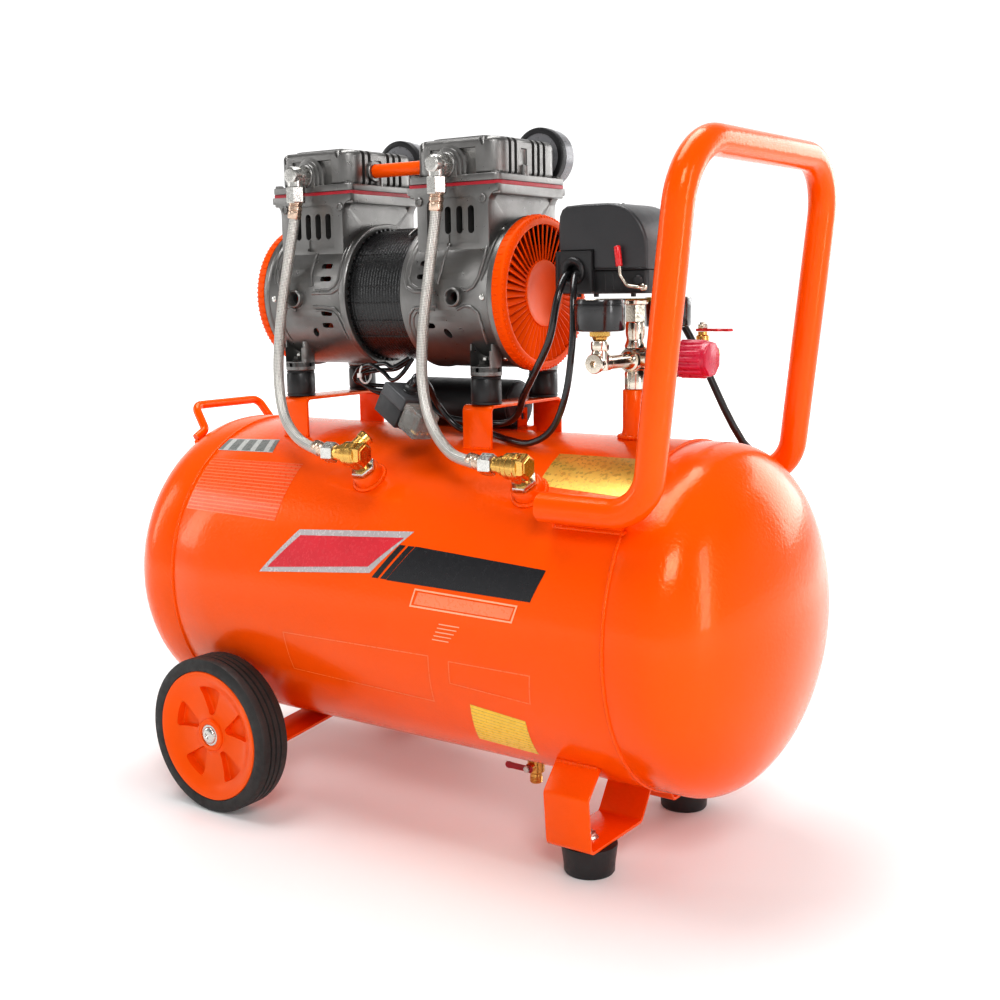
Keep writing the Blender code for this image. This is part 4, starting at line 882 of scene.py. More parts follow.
def rib(points, radius=0.0016, lift=0.0):
    """A raised rib along a path of (x, turn) points on the bell."""
    path = []
    for a, b in zip(points, points[1:]):
        path += [on_bell(a[0] + (b[0] - a[0]) * k / 4, a[1] + (b[1] - a[1]) * k / 4, lift) for k in range(4)]
    path.append(on_bell(*points[-1], lift))
    return bar(flowing(path, len(path) * 2), radius, 10)


for side, sign in (("left", -1), ("right", 1)):
    head_x = pump_x + 0.086
    bell = turned(mm((70.2, 139), (70.5, 138.4), (70.5, 134.5), (69.8, 133.6), (68.6, 133), (68, 131.8),
        (68, 42.5), (68.6, 41.5), (69.2, 39.5), (69.2, 35), (68.4, 34), (64, 34), (62.8, 34.8), (62.8, 52.5),
                     (7.9, 52.5), (7.9, 57.5), (62.8, 57.5), (62.8, 138.4), (63.4, 139)),
                  (pump_x, 0, pump_z), "X", 128, ring=True)
    neck = level(rounded(0.081, 0.106, 0.007, 6, (head_x, 0)), 0.5124, 0.5890)
    flare = [(head_x + 0.0515, 0.5970), (head_x + 0.0515, 0.5915)]
    flare += arc(0.0105, 90, 180, 7, (head_x + 0.0508, 0.5800))
    flare += [(head_x + 0.0403, 0.5400)]
    front_plate = flare + [(2 * head_x - x, z) for x, z in reversed(flare)]
    deck = level(rounded(0.103, 0.108, 0.005, 5, (head_x, 0)), 0.5880, 0.5968, 0.0008)
    body = carved(bell, neck, upright(front_plate, -0.0548, -0.0440, 0.0009),
                  upright(front_plate, 0.0440, 0.0548, 0.0009), deck, operation="UNION")
    cuts = [rod(0.0340, 0.0515, 0.1100, (head_x, 0, pump_z), "Z", 64),
            rod(0.0626, 0.0575, 0.1420, (pump_x, 0, pump_z), "X", 128),
            rod(0.0626, 0.0200, 0.0525, (pump_x, 0, pump_z), "X", 128)]
    window = [(head_x - 0.0285, 0.5465), (head_x + 0.0285, 0.5465), (head_x + 0.0285, 0.5790)]
    window += arc(0.0080, 0, 90, 5, (head_x + 0.0205, 0.5790)) + arc(0.0080, 90, 180, 5,
                                                                     (head_x - 0.0205, 0.5790))
    cuts.append(upright(window[:-1] + [(head_x - 0.0285, 0.5790)], -0.0600, -0.0524))
    cuts.append(upright(rounded(0.0120, 0.0110, 0.001, 3, (head_x, 0.5490)), -0.0600, -0.0512))
    for i in range(4):
        cuts.append(upright(pill(head_x + (i - 1.5) * 0.0130, 0.5670, 0.0068, 0.0245), -0.0700, -0.0300))
    for x, z in ((-0.0250, 0.0285), (-0.0262, 0.0165), (-0.0260, -0.0165), (-0.0235, -0.0280)):
        cuts.append(upright(pill(head_x + x, pump_z + z, 0.0138, 0.0046), -0.0900, -0.0400))
    port = Vector((head_x + 0.0110, 0, pump_z - 0.002))
    port_at = port + Vector((0, -0.0620, 0))
    cuts.append(rod(0.0050, 0.0300, 0.1000, port, "-Y", 32))
    oval = on_bell(head_x - 0.0045, 121.0)
    out = (oval - Vector((oval.x, 0, pump_z))).normalized()
    hole = rod(0.0045, -0.020, 0.020, (0, 0, 0), "Z", 28)
    bmesh.ops.scale(hole, vec=(0.75, 1.2, 1), verts=hole.verts)
    hole.transform(Matrix.Translation(oval) @ out.to_track_quat("Z", "Y").to_matrix().to_4x4()
                   @ Matrix.Rotation(math.radians(25), 4, "Z"))
    cuts.append(hole)
    body = carved(body, *cuts)
    forms = [mirrored(body, sign, pump_x)]
    detail = [turned(mm((5.2, 6), (6.4, 9.8), (7, 11.2), (8, 11.2), (8.7, 10.4), (9, 5), (10, 4), (11.2, 3),
                        (11.5, 0), (5.2, 0)),
                     port_at, "-Y", 48, ring=True),
              rib([(0.0719, 46), (0.0737, 58), (0.0733, 68), (0.0716, 76.8), (0.0665, 84.0), (0.0600, 87.0),
                   (0.0545, 86.0)]),
              rib([(0.0478, 101.0), (0.0560, 98.4), (0.0640, 99.5), (0.0700, 104.0), (0.0713, 115.0),
                   (0.0700, 130.0)]),
              rib([(-0.0100, 40), (-0.0117, 62.4), (-0.0122, 76.4), (-0.0085, 83.9), (-0.0002, 87.3),
                   (0.0250, 87.7)]),
              rib([(-0.0065, 48), (-0.0072, 64.3), (-0.0070, 76.0), (-0.0035, 81.5), (0.0035, 84.6),
                   (0.0210, 85.0)], 0.0012),
              rib([(0.0250, 98.4), (0.0101, 98.8), (-0.0014, 99.9), (-0.0075, 104.6), (-0.0105, 111.6),
                   (-0.0115, 127)]),
              rib([(0.0220, 101.4), (0.0101, 101.6), (0.0010, 102.6), (-0.0040, 107.0), (-0.0065, 114),
                   (-0.0075, 127)], 0.0012),
              rib([(0.0292, 48), (0.0289, 61.5), (0.0287, 72.0), (0.0262, 81.8)], 0.0016),
              rib([(0.0790, 42), (0.0788, 56), (0.0780, 70), (0.0740, 79.5)], 0.0011)]
    for x in (-0.0375, 0.0345):
        detail.append(turned(mm((0, 0), (4, 0), (4, 1.6), (3.4, 2.2), (2.2, 2.2), (1.8, 1.4), (0, 1.4)),
                             (head_x + x, -0.0546, 0.5845), "-Y", 32))
    for y, place in ((-1, "front"), (1, "rear")):
        x = pump_x + 0.1155
        low = 0.4268
        base = level(rounded(0.0280, 0.0275, 0.0125, 8, (x, y * 0.04675)), low, low + 0.0092, 0.0012)
        walls = level(rounded(0.0280, 0.0275, 0.0125, 8, (x, y * 0.04675)), low + 0.004, 0.4560)
        well = level(rounded(0.0216, 0.0400, 0.0095, 8, (x, y * 0.0575)), low + 0.0091, 0.4700)
        trim = rod(0.0660, 0.0, 0.2, (pump_x, 0, pump_z), "X", 96)
        slope = upright([(x - 0.03, 0.4500), (x - 0.03, 0.4800), (x + 0.03, 0.4800), (x + 0.03, 0.4500)],
                        min(y * 0.0540, y * 0.0800), max(y * 0.0540, y * 0.0800))
        detail.append(carved(walls, well, trim, slope))
        detail.append(base)
    for form in detail:
        forms.append(mirrored(form, sign, pump_x))
    made(f"cast_bell_{side}", forms, cast, stands_for=[f"crankcase_{side}"], angle=34)
    tips = []
    for turn in (92.0, 30.0, 330.0, 270.0, 210.0, 150.0):
        at = on_bell(pump_x + 0.1275, turn, -0.0005)
        outward = at - Vector((at.x, 0, pump_z))
        screw = turned(mm((0, 1.6), (1.2, 1.6), (2.6, 1.2), (3.1, 0.4), (3.2, -1), (0, -1)),
                       at, outward, 24)
        tips.append(mirrored(screw, sign, pump_x))
    made(f"cover_screws_{side}", tips, zinc)

# ---- motor stator ----
# A stack of varnished black steel laminations held between the two bells, with a rough cast band of
# winding insulation showing as uneven teeth at the left joint and a light steel clip at the top.
laminations = surface("varnished_laminations", (0.006, 0.006, 0.0065), 0.27, 0.0, tint=0.5, tint_scale=160,
                      grain=0.00045, grain_scale=520, scuff=0.16)
pattern(laminations, "BANDS", 90.0, 0.00018, "X")
forms = [turned(mm((62.5, 45), (62.5, -45), (34.6, -45), (34.6, 45)), (pump_x, 0, pump_z), "X",
                160, ring=True)]
for turn in (52, 82, 96, 112, 128, 250, 290):
    angle = math.radians(turn)
    line = [Vector((pump_x + dx, -0.0625 * math.sin(angle),
                    pump_z + 0.0625 * math.cos(angle))) for dx in (-0.034, 0, 0.034)]
    forms.append(bar(line, 0.0007, 8))
insulation_teeth = 58
for k in range(insulation_teeth):
    angle = 2 * math.pi * k / insulation_teeth
    seed = noise.noise(Vector((k * 1.7, 0.3, 0.9)))
    wide = 0.0014 + 0.0006 * seed
    block = brick((pump_x - 0.0372 - 0.0012 * seed, -wide * 1.5, 0.0605),
                  (pump_x - 0.0325 + 0.0018 * seed, wide, 0.0646 + 0.0008 * seed), 0.0005)
    block.transform(Matrix.Translation((0, 0, pump_z)) @ Matrix.Rotation(angle, 4, "X"))
    forms.append(block)
made("lamination_stack", forms, laminations, stands_for=["motor_stator"], angle=30)
clip = [Vector((pump_x + 0.022, -0.0665 * math.sin(math.radians(t)),
                pump_z + 0.0665 * math.cos(math.radians(t))))
        for t in range(-34, 36, 4)]
made("stator_clip", [bar(clip, 0.0016, 10), brick((pump_x + 0.0150, -0.0030, pump_z + 0.0620),
                                                  (pump_x + 0.0225, 0.0030, pump_z + 0.0725), 0.0008),
                     brick((pump_x - 0.0230, -0.0018, pump_z + 0.0620),
                           (pump_x + 0.0160, 0.0018, pump_z + 0.0640), 0.0005)],
     cast)

# ---- rotor, fans and connecting rods ----
# Inside the bells: a ground steel shaft with its rotor core and cranks, an orange paddle fan on each end,
# and the two cast wobble pistons. They keep their CAD shapes and take their real finishes.
rotor_steel = surface("ground_steel", (0.42, 0.41, 0.40), 0.22, 1.0, tint=0.10, tint_scale=60, grain=0.00003)
pattern(rotor_steel, "BANDS", 260.0, 0.00003, "X")
for node, finish in (("rotor_shaft", rotor_steel), ("fan_left", orange_moulding),
                     ("fan_right", orange_moulding),
                     ("con_rod_left", cast), ("con_rod_right", cast)):
    bpy.data.objects[node].material_slots[0].material = finish

# ---- fan covers ----
# Bright orange moulded grilles snapped on each bell: a toothed rim band, forty-eight blades set at a slant
# like a turbine's, and a smooth dished disc in the middle.
grille_orange = surface("grille_orange", (0.80, 0.080, 0.0), 0.40, tint=0.05, tint_scale=22, grain=0.00005,
                        grain_scale=800, scuff=0.06)
reflections(grille_orange, 0.2, (1.0, 0.55, 0.25, 1))
for side, sign in (("left", -1), ("right", 1)):
    rim = turned(mm((70.5, 0.4), (70.5, 7.8), (70, 9.2), (68.8, 10.4), (66.8, 11.4), (64, 11.8), (62.2, 11.4),
                    (61.8, 10.6), (61.8, 5.2), (64, 5), (68, 5), (68, 0.4)), (0, 0, 0), "Z", 144, ring=True)
    disc = turned(mm((0, 6.2), (9, 6.5), (18, 7.8), (25, 9.8), (28, 10.8), (29.8, 10.8), (30.4, 10), (30.4, 5),
                     (29, 4.6), (0, 3.6)),
                  (0, 0, 0), "Z", 96)
    blade = brick((0.0290, -0.0044, -0.0007), (0.0632, 0.0044, 0.0007), 0.0005, 1)
    for v in blade.verts:
        v.co.y *= 0.62 + 0.38 * (v.co.x - 0.029) / 0.034
    blade.transform(Matrix.Translation((0, 0, 0.0082)) @ Matrix.Rotation(math.radians(40), 4, "X"))
    blades = repeated(blade, 48, turn=math.radians(7.5), material=grille_orange)
    notch = brick((0.0668, -0.0007, 0.0096), (0.0694, 0.0007, 0.0112), 0.0003, 1)
    notches = repeated(notch, 96, turn=math.radians(3.75), material=grille_orange)
    step = brick((0.0698, -0.0010, 0.0012), (0.0712, 0.0010, 0.0066), 0.0004, 1)
    steps_round = repeated(step, 60, turn=math.radians(6), material=grille_orange)
    place = Matrix.Translation((pump_x + sign * 0.139, 0, pump_z)) @ Matrix.Rotation(sign * math.pi / 2, 4, "Y")
    forms = [rim, disc, blades, notches, steps_round]
    for form in forms:
        form.transform(place)
    made(f"grille_{side}", forms, grille_orange, stands_for=[f"fan_cover_{side}"], angle=40)

# ---- cylinder heads, gaskets and intake filters ----
# Die-cast covers with cooling fins at both ends and screw pockets along the top edges, bolted over a red
# fibre gasket. A stepped grey filter with a black ring is pushed on behind each.
gasket_red = surface("red_fibre", (0.36, 0.010, 0.022), 0.45, tint=0.18, tint_scale=60, grain=0.00010)
filter_grey = surface("filter_grey", (0.20, 0.20, 0.21), 0.32, 0.35, tint=0.06, tint_scale=30, grain=0.00005,
                      coat=0.2)
filter_black = surface("filter_black", (0.014, 0.014, 0.015), 0.36, tint=0.3, tint_scale=50, grain=0.00010)
for side, x in (("left", pump_x - 0.086), ("right", pump_x + 0.086)):
    low, high = 0.5999, 0.6413
    cover = level(rounded(0.0950, 0.1000, 0.0150, 8, (x, 0)), 0.6040, high - 0.0022, 0.0060, 5)
    ridge = level(rounded(0.0600, 0.0830, 0.0040, 4, (x - 0.002, 0.001)), 0.6300, high - 0.0006, 0.0014, 2)
    crown = level(rounded(0.0560, 0.0780, 0.0035, 4, (x - 0.002, 0.002)), 0.6300, high, 0.0010, 2)
    cuts = []
    for px in (-0.0365, 0.0315):
        for y in (-1, 1):
            cuts.append(turned(mm((0, -15), (1, -15), (4.6, -3), (4.8, 0), (4.8, 10), (0, 10)),
                               (x + px, y * 0.0476, high), "Z", 28))
    for y in (-0.0300, -0.0212, 0.0068, 0.0156, 0.0250):
        for end in (-1, 1):
            cuts.append(brick((x + end * 0.0490 - 0.0085, y - 0.0022, 0.6066),
                              (x + end * 0.0490 + 0.0085, y + 0.0022, 0.6500)))
    for end in (-1, 1):
        cuts.append(brick((x + end * 0.0490 - 0.0035, -0.0138, 0.6150),
                          (x + end * 0.0490 + 0.0035, -0.0030, 0.6300), 0.002))
        cuts.append(brick((x + end * 0.0500 - 0.0035, -0.0180, 0.6345),
                          (x + end * 0.0500 + 0.0035, 0.0030, 0.6500), 0.0015))
    lobe_gap = upright([(x - 0.0270, 0.6000), (x + 0.0240, 0.6000), (x + 0.0240, 0.6300), (x - 0.0270, 0.6300)],
                       -0.0560, -0.0470, 0.001)
    cuts.append(lobe_gap)
    cover = carved(cover, ridge, crown, operation="UNION")
    cover = carved(cover, *cuts)
    flange = level(rounded(0.1030, 0.1120, 0.0070, 6, (x, 0)), low, low + 0.0064, 0.0011)
    forms = [cover, flange]
    for radius, front in ((0.0185, -0.0505), (0.0155, -0.0535), (0.0125, -0.0565)):
        outline = [(x - 0.005 - radius, 0.6040), (x - 0.005 + radius, 0.6040)]
        outline += arc(radius, 0, 180, 14, (x - 0.005, 0.6150))
        forms.append(upright(outline, front, -0.0400, 0.0010))
    forms.append(turned(mm((0, 0), (11, 0), (11, 17.6), (10.2, 18.4), (0, 18.4)),
                        (x - 0.005, -0.0400, 0.6155), "-Y", 48))
    forms.append(turned(mm((0, 0), (12.5, 0), (12.5, 15), (11.6, 16), (0, 16)),
                        (x + 0.0200, 0.0400, 0.6280), "Y", 48))
    for end in (-1, 1):
        forms.append(turned(mm((0, 605), (4.2, 605), (4, 614), (3, 615.2), (0, 615.2)),
                            (x + end * 0.0475, -0.0082, 0), "Z", 28))
        for y in (-0.0500, 0.0500):
            forms.append(turned([(0.0, low + 0.005), (0.0042, low + 0.005), (0.0042, low + 0.0078),
                                 (0.0036, low + 0.0086),
                                 (0.0, low + 0.0086)], (x + end * 0.0455, y, 0), "Z", 6))
    inward = 1 if side == "left" else -1
    forms.append(turned(mm((6.8, 0), (10, 0), (10, 4), (9.2, 4.8), (6.8, 4.8)),
                        (x + inward * 0.0455, -0.0150, 0.6195), "X" if inward > 0 else "-X", 40, ring=True))
    made(f"head_cover_{side}", forms, cast, stands_for=[f"head_{side}"], angle=34)
    made(f"head_gasket_{side}", [level(rounded(0.1036, 0.1090, 0.0055, 6, (x, 0)), 0.5964, 0.6000, 0.0004, 1)],
         gasket_red)
    at = Vector((x + 0.0200, 0.0545, 0.6280))
    shell = mm((0, 30), (12, 30), (13.5, 29.2), (15, 30), (19, 29.8), (20.2, 29), (20.6, 27.2), (23.2, 27),
        (24.2, 26.2), (24.6, 24), (26.2, 23.8), (27, 23), (27.2, 14), (27.9, 13.2), (27.9, 9), (26.2, 8.4),
               (26.2, 3), (21.5, 2.2), (0, 2.2))
    made(f"filter_shell_{side}", [turned(shell, at, "Y", 96)], filter_grey,
         stands_for=[f"intake_filter_{side}"])
    ring = mm((22.6, 1.8), (26.2, 1.4), (27.7, 2.2), (28, 3.4), (28, 7.8), (27.4, 8.6), (22.6, 8.6))
    made(f"filter_ring_{side}", [turned(ring, at, "Y", 96, ring=True)], filter_black)
span = 0.0395 + 0.0060
made("balance_pipe", [bar([Vector((pump_x - span, -0.0150, 0.6195)), Vector((pump_x, -0.0150, 0.6195)),
                           Vector((pump_x + span, -0.0150, 0.6195))], 0.0065, 40)], enamel,
     stands_for=["crossover_pipe"])

# ---- braided hoses ----
# Stainless wire braid over a rubber core, crimped into copper-washed steel sleeves. A nickel-plated elbow
# with a hexagon nut joins each to its head, and a zinc hexagon nut joins it to its check valve.
nickel = surface("nickel_plate", (0.66, 0.59, 0.50), 0.18, 1.0, tint=0.12, tint_scale=55, grain=0.00004,
                 scuff=0.08)
crimp_steel = surface("copper_washed_steel", (0.62, 0.47, 0.37), 0.26, 1.0, tint=0.15, tint_scale=90,
                      grain=0.00004)
braid = surface("stainless_braid", (0.52, 0.50, 0.47), 0.34, 0.9, tint=0.10, tint_scale=50)


def woven(material, columns, per_metre, depth):
    """Crossing strands that follow the hose's UV, with a painted highlight on their crowns and painted shade where
    they pass under.
    """
    nodes, links = material.node_tree.nodes, material.node_tree.links
    shader = nodes["Principled BSDF"]
    uv = nodes.new("ShaderNodeUVMap")
    uv.uv_map = "UVMap"
    parts = nodes.new("ShaderNodeSeparateXYZ")
    links.new(uv.outputs["UV"], parts.inputs["Vector"])

    def sum_of(first, second, operation):
        step = nodes.new("ShaderNodeMath")
        step.operation = operation
        links.new(first, step.inputs[0])
        if isinstance(second, (int, float)):
            step.inputs[1].default_value = second
        elif second is not None:
            links.new(second, step.inputs[1])
        return step.outputs["Value"]

    around = sum_of(parts.outputs["X"], columns * 2 * math.pi, "MULTIPLY")
    lengthwise = sum_of(parts.outputs["Y"], per_metre * 2 * math.pi, "MULTIPLY")
    one = sum_of(sum_of(around, lengthwise, "ADD"), None, "SINE")
    two = sum_of(sum_of(around, lengthwise, "SUBTRACT"), None, "SINE")
    cross = sum_of(one, two, "MULTIPLY")
    # Painted shade and painted highlight: the base colour goes dark between the strands and bright on their crowns,
    # following the weave's relief.
    shade = nodes.new("ShaderNodeValToRGB")
    shade.color_ramp.elements[0].position = 0.0
    shade.color_ramp.elements[0].color = (0.16, 0.15, 0.14, 1)
    shade.color_ramp.elements[1].position = 0.55
    shade.color_ramp.elements[1].color = (0.66, 0.64, 0.60, 1)
    lifted = sum_of(sum_of(cross, 0.5, "MULTIPLY"), 0.5, "ADD")
    links.new(lifted, shade.inputs["Fac"])
    links.new(shade.outputs["Color"], shader.inputs["Base Color"])
    bump = nodes.new("ShaderNodeBump")
    bump.inputs["Distance"].default_value = depth
    links.new(lifted, bump.inputs["Height"])
    links.new(bump.outputs["Normal"], shader.inputs["Normal"])
    return material


woven(braid, 11, 340, 0.0004)
bung_x = {"left": -0.0300, "right": 0.1490}
hose_routes = {
    "right": mm((28.5, -71.5, 565), (23, -76, 515), (20.5, -83, 465), (27, -93, 423), (46, -106, 388),
                (76, -118, 365)),
    "left": mm((-145.5, -71.5, 565), (-154.5, -76, 515), (-158, -83, 465), (-152, -93, 423), (-134, -106, 388),
               (-105, -118, 368))}


def along(start, heading, profile, steps=32):
    """A turned form on the line that starts at a point and runs in a direction."""
    return turned(profile, start, heading, steps)


crimp = mm((0, 0), (5.8, 0), (6.6, 0.8), (6.6, 3), (6, 3.6), (6, 4.4), (6.7, 5.2), (6.7, 8.5), (6, 9.2),
           (6, 10), (6.6, 10.8), (6.6, 16), (6, 17), (5.4, 17.2), (0, 17.2))
for side, sign in (("left", -1), ("right", 1)):
    top = Vector((pump_x + sign * 0.086 - 0.005, -0.0700, 0.6155))
    end = on_tank(0.188, bung_turn, bung_x[side]) - Vector((0.0213, 0, 0))
    first = top - Vector((0, 0, 0.0270))
    last = end - Vector((0.0200, 0, 0))
    path = hose_routes[side]
    made(f"braided_hose_{side}", [bar(flowing([first, *path, last], 110), 0.0051, 28)], braid,
         stands_for=[f"hose_{side}"], angle=60)
    leave = (flowing([first, *path, last], 60)[4] - first).normalized()
    arrive = (flowing([first, *path, last], 60)[-5] - last).normalized()
    made(f"hose_sleeves_{side}", [along(first + Vector((0, 0, 0.0030)), leave, crimp, 40),
                                  along(last + Vector((0.0080, 0, 0)), arrive, crimp, 40)], crimp_steel)
    elbow = [along(top + Vector((0, 0.0117, 0)), "-Y", mm((0, 0), (9.8, 0), (10.2, 1), (10.2, 8.5), (9.6, 9.5),
                                                          (8.4, 10), (0, 10)), 6),
             along(top + Vector((0, 0.0060, 0)), "-Y", mm((0, 0), (8.5, 0), (8.5, 10.5), (7.6, 13), (5.8, 14.2),
                                                          (0, 14.5)), 40),
             along(top, "-Z", mm((0, -6), (7.2, -6), (7.5, 0), (7.5, 12), (0, 12)), 40),
             along(top, "-Z", mm((0, 10.5), (8.6, 10.5), (9.4, 11.5), (9.4, 25), (8.6, 26), (0, 26)), 6)]
    made(f"head_elbow_{side}", elbow, zinc, angle=28)
    made(f"hose_nut_{side}", [along(end, "-X", mm((0, 0), (8.6, 0), (9.8, 1), (9.8, 12), (8.6, 13), (0, 13)),
                                    6),
                              along(end - Vector((0.0125, 0, 0)), "-X", mm((0, 0), (6.2, 0), (6.2, 2), (0, 2)),
                                    32)], zinc, angle=28)

# ---- check valves ----
# Machined brass bodies lying along the tank, each with turned grooves and a large hexagon cap on its open
# end, screwed into the bung and locked there by a thin zinc nut.
for side in ("left", "right"):
    middle = on_tank(0.188, bung_turn, bung_x[side])
    outward = (middle - on_tank(0.150, bung_turn, bung_x[side])).normalized()
    barrel = mm((0, -21), (7, -21), (7.4, -20), (7.4, -15), (8.4, -14), (8.6, -9.8), (10.4, -8.8), (11.2, -7.8),
        (11.2, -4), (10.7, -3.6), (10.7, -2.6), (11.6, -2), (11.7, 3), (11, 3.6), (11, 4.4), (11.4, 5),
                (11.4, 7.2), (0, 7.2))
    cap = mm((0, 6), (10.8, 6), (11.7, 6.8), (11.7, 11.8), (10.6, 13), (8.6, 13.4), (8.4, 14.2), (0, 14.2))
    forms = [turned(barrel, middle, "X", 72), turned(cap, middle, "X", 6),
             turned(mm((0, 150), (8, 150), (8, 174), (9.2, 177), (9.8, 188), (0, 188)),
                    on_tank(0, 0, bung_x[side]), outward, 48)]
    if side == "left":
        turn_to = (Vector((-0.0130, -0.0930, 0.3870)) - middle).normalized()
        forms.append(turned(mm((0, 0), (6.6, 0), (6.6, 13), (7.4, 13.8), (7.6, 19), (6.8, 20), (0, 20)),
                            middle + outward * 0.004, turn_to, 40))
    made(f"brass_check_valve_{side}", forms, brass, stands_for=[f"check_valve_{side}"], angle=28)
    made(f"lock_nut_{side}", [turned(mm((8.1, 167.2), (11.8, 167.2), (12.2, 168), (12.2, 170.8), (11.6, 171.6),
                                        (8.1, 171.6)), on_tank(0, 0, bung_x[side]), outward, 6,
                                     ring=True)], zinc)

# ---- unloading solenoid ----
# A square coil in dark grey moulding with a black yoke, tilted above the left valve. Its clear plug shows
# the terminal block and lamp inside, and a ribbed black gland takes the lead.
grey_moulding = surface("grey_moulding", (0.055, 0.056, 0.060), 0.42, tint=0.12, tint_scale=40, grain=0.00012,
                        grain_scale=1200)
black_moulding = surface("black_moulding", (0.018, 0.018, 0.019), 0.40, tint=0.18, tint_scale=30, grain=0.00014,
                         grain_scale=1300, scuff=0.07)


def see_through(material, share, bending):
    """Lets light through a finish, bent a little."""
    shader = material.node_tree.nodes["Principled BSDF"]
    shader.inputs["Transmission Weight"].default_value = share
    shader.inputs["IOR"].default_value = bending


clear_moulding = surface("clear_moulding", (0.62, 0.60, 0.56), 0.12, tint=0.05, grain=0.00005)
see_through(clear_moulding, 0.75, 1.20)
tilt = (Matrix.Translation((-0.0060, -0.0830, 0.3990)) @ Matrix.Rotation(math.radians(28), 4, "Y")
        @ Matrix.Rotation(math.radians(-12), 4, "Z"))
made("solenoid_yoke", [brick((-0.0205, -0.0128, -0.0150), (0.0140, 0.0128, 0.0060), 0.0012, 2, tilt),
                       brick((-0.0215, -0.0060, -0.0156), (0.0150, 0.0060, 0.0010), 0.0006, 2, tilt),
                       brick((0.0120, -0.0100, -0.0120), (0.0300, 0.0100, -0.0080), 0.0008, 2, tilt)],
     black_moulding,
     stands_for=["solenoid_coil"])
made("solenoid_cap", [brick((-0.0195, -0.0134, 0.0030), (0.0145, 0.0134, 0.0154), 0.0016, 3, tilt),
                      brick((-0.0150, -0.0100, 0.0148), (0.0100, 0.0100, 0.0158), 0.0004, 2, tilt)],
     grey_moulding)
ring = turned(mm((0, 0), (6.6, 0), (6.6, 2), (5.6, 2.6), (5.6, 3.8), (6.4, 4.4), (6.4, 6.2), (4.8, 7.4),
                 (0, 7.4)), (0.0000, 0.0020, 0.0150), "Z", 36)
ring.transform(tilt)
made("solenoid_gland", [ring], black_moulding)
made("solenoid_clear_plug", [brick((0.0146, -0.0118, -0.0118), (0.0398, 0.0118, 0.0128), 0.0018, 3, tilt)],
     clear_moulding)
inside = [brick((0.0170, -0.0085, -0.0090), (0.0300, -0.0015, 0.0060), 0.0006, 2, tilt),
          brick((0.0180, 0.0010, -0.0085), (0.0330, 0.0080, 0.0020), 0.0006, 2, tilt)]
made("solenoid_terminals", inside, grey_moulding)
made("solenoid_contacts", [brick((0.0300, -0.0070 + 0.0060 * k, -0.0080),
                                 (0.0370, -0.0040 + 0.0060 * k, -0.0055),
                                 0.0003, 1, tilt) for k in range(3)], brass)

# ---- run capacitor ----
# A black plastic can lying across the tank's top, its dark grey end disc pressed in, held by an orange
# steel clip that is welded to the tank and folded up against the disc.
can_z = tank_middle.z + math.sqrt((tank_radius + 0.0248) ** 2 - 0.04 ** 2)
can_profile = mm((0, 1), (19.5, 1), (20, 0), (23, 0), (24.3, 1.2), (24.5, 3), (24.5, 30), (24.2, 30.3),
                 (24.2, 31.3), (24.5, 31.6), (24.5, 127), (24, 129), (22.6, 129.4), (22.2, 128), (0, 128))
made("capacitor_can", [turned(can_profile, (-0.0890, 0.0400, can_z), "X", 96)], black_moulding,
     stands_for=["capacitor"])
made("capacitor_disc", [turned(mm((0, 127), (22.1, 127), (22.1, 130), (20.8, 131.6), (0, 131.8)),
                               (-0.0890, 0.0400, can_z), "X", 72)], grey_moulding)
clip_form = brick((0.0436, 0.0320, 0.3720), (0.0452, 0.0480, 0.3900), 0.0006, 2)
hole = brick((0.0400, 0.0370, 0.3790), (0.0480, 0.0430, 0.3850))
foot = brick((0.0436, 0.0320, 0.3640), (0.0560, 0.0480, 0.3725), 0.0006, 2)
made("capacitor_clip", [carved(clip_form, hole), foot], enamel)

# ---- manifold ----
# A nickel-plated brass stack screwed into the tank's riser: a barrel, a hexagonal cross with one arm to each
# gauge and one to the regulator, and a nut under the thin plate that carries the switch.
riser = Vector((0.193, 0, 0))
forms = [turned(mm((0, 395), (6.7, 395), (6.7, 415), (9.2, 415.8), (9.5, 416.8), (9.5, 430), (8.8, 431.5),
                   (8.8, 433), (0, 433)), riser, "Z", 56),
         turned(mm((0, 432.5), (10, 432.5), (10.8, 433.5), (10.8, 451.5), (10, 452.5), (0, 452.5)),
                riser, "Z", 6),
         turned(mm((0, 452), (9.2, 452), (9.4, 454), (7.8, 458), (7.6, 460), (8.5, 464), (8.6, 472), (8, 474.5),
                   (0, 474.5)), riser, "Z", 56),
         turned(mm((0, 474), (8.8, 474), (9.6, 475), (9.6, 489.5), (8.8, 490.5), (0, 490.5)),
                riser, "Z", 6),
         turned(mm((0, 490), (11.5, 490), (11.8, 490.6), (11.8, 493.4), (0, 493.4)), riser, "Z", 56)]
arm = mm((0, 0), (10, 0), (10.4, 1.2), (10.4, 10.5), (9.8, 12), (7.8, 12.5), (7, 13.5), (6.2, 15), (6.2, 48),
         (7, 49), (0, 49))
for way in ("-Y", "Y"):
    forms.append(turned(arm, (0.193, 0, 0.4415), way, 48))
forms.append(turned(mm((0, 0), (8.6, 0), (9, 1), (9, 15), (8.4, 16.5), (0, 16.5)),
                    (0.193, 0, 0.4432), "X", 48))
for y in (-0.0600, 0.0600):
    way = "-Y" if y < 0 else "Y"
    tee = turned(mm((0, -11), (6.6, -11), (7.2, -10), (7.2, 4), (7.8, 5), (8.4, 6.5), (8.6, 10), (8, 11.2),
                    (5.8, 11.4), (0, 11.4)),
                 (0.193, y, 0.4415), way, 48)
    socket = rod(0.0034, 0.0060, 0.0200, (0.193, y, 0.4415), way, 6)
    forms.append(carved(tee, socket))
    forms.append(turned(mm((0, 436), (6.6, 436), (7.4, 440), (7.8, 445), (7.4, 450), (6.8, 452), (7.6, 453.5),
                           (7.8, 458), (7.2, 460), (0, 460)),
                        (0.193, y, 0), "Z", 48))
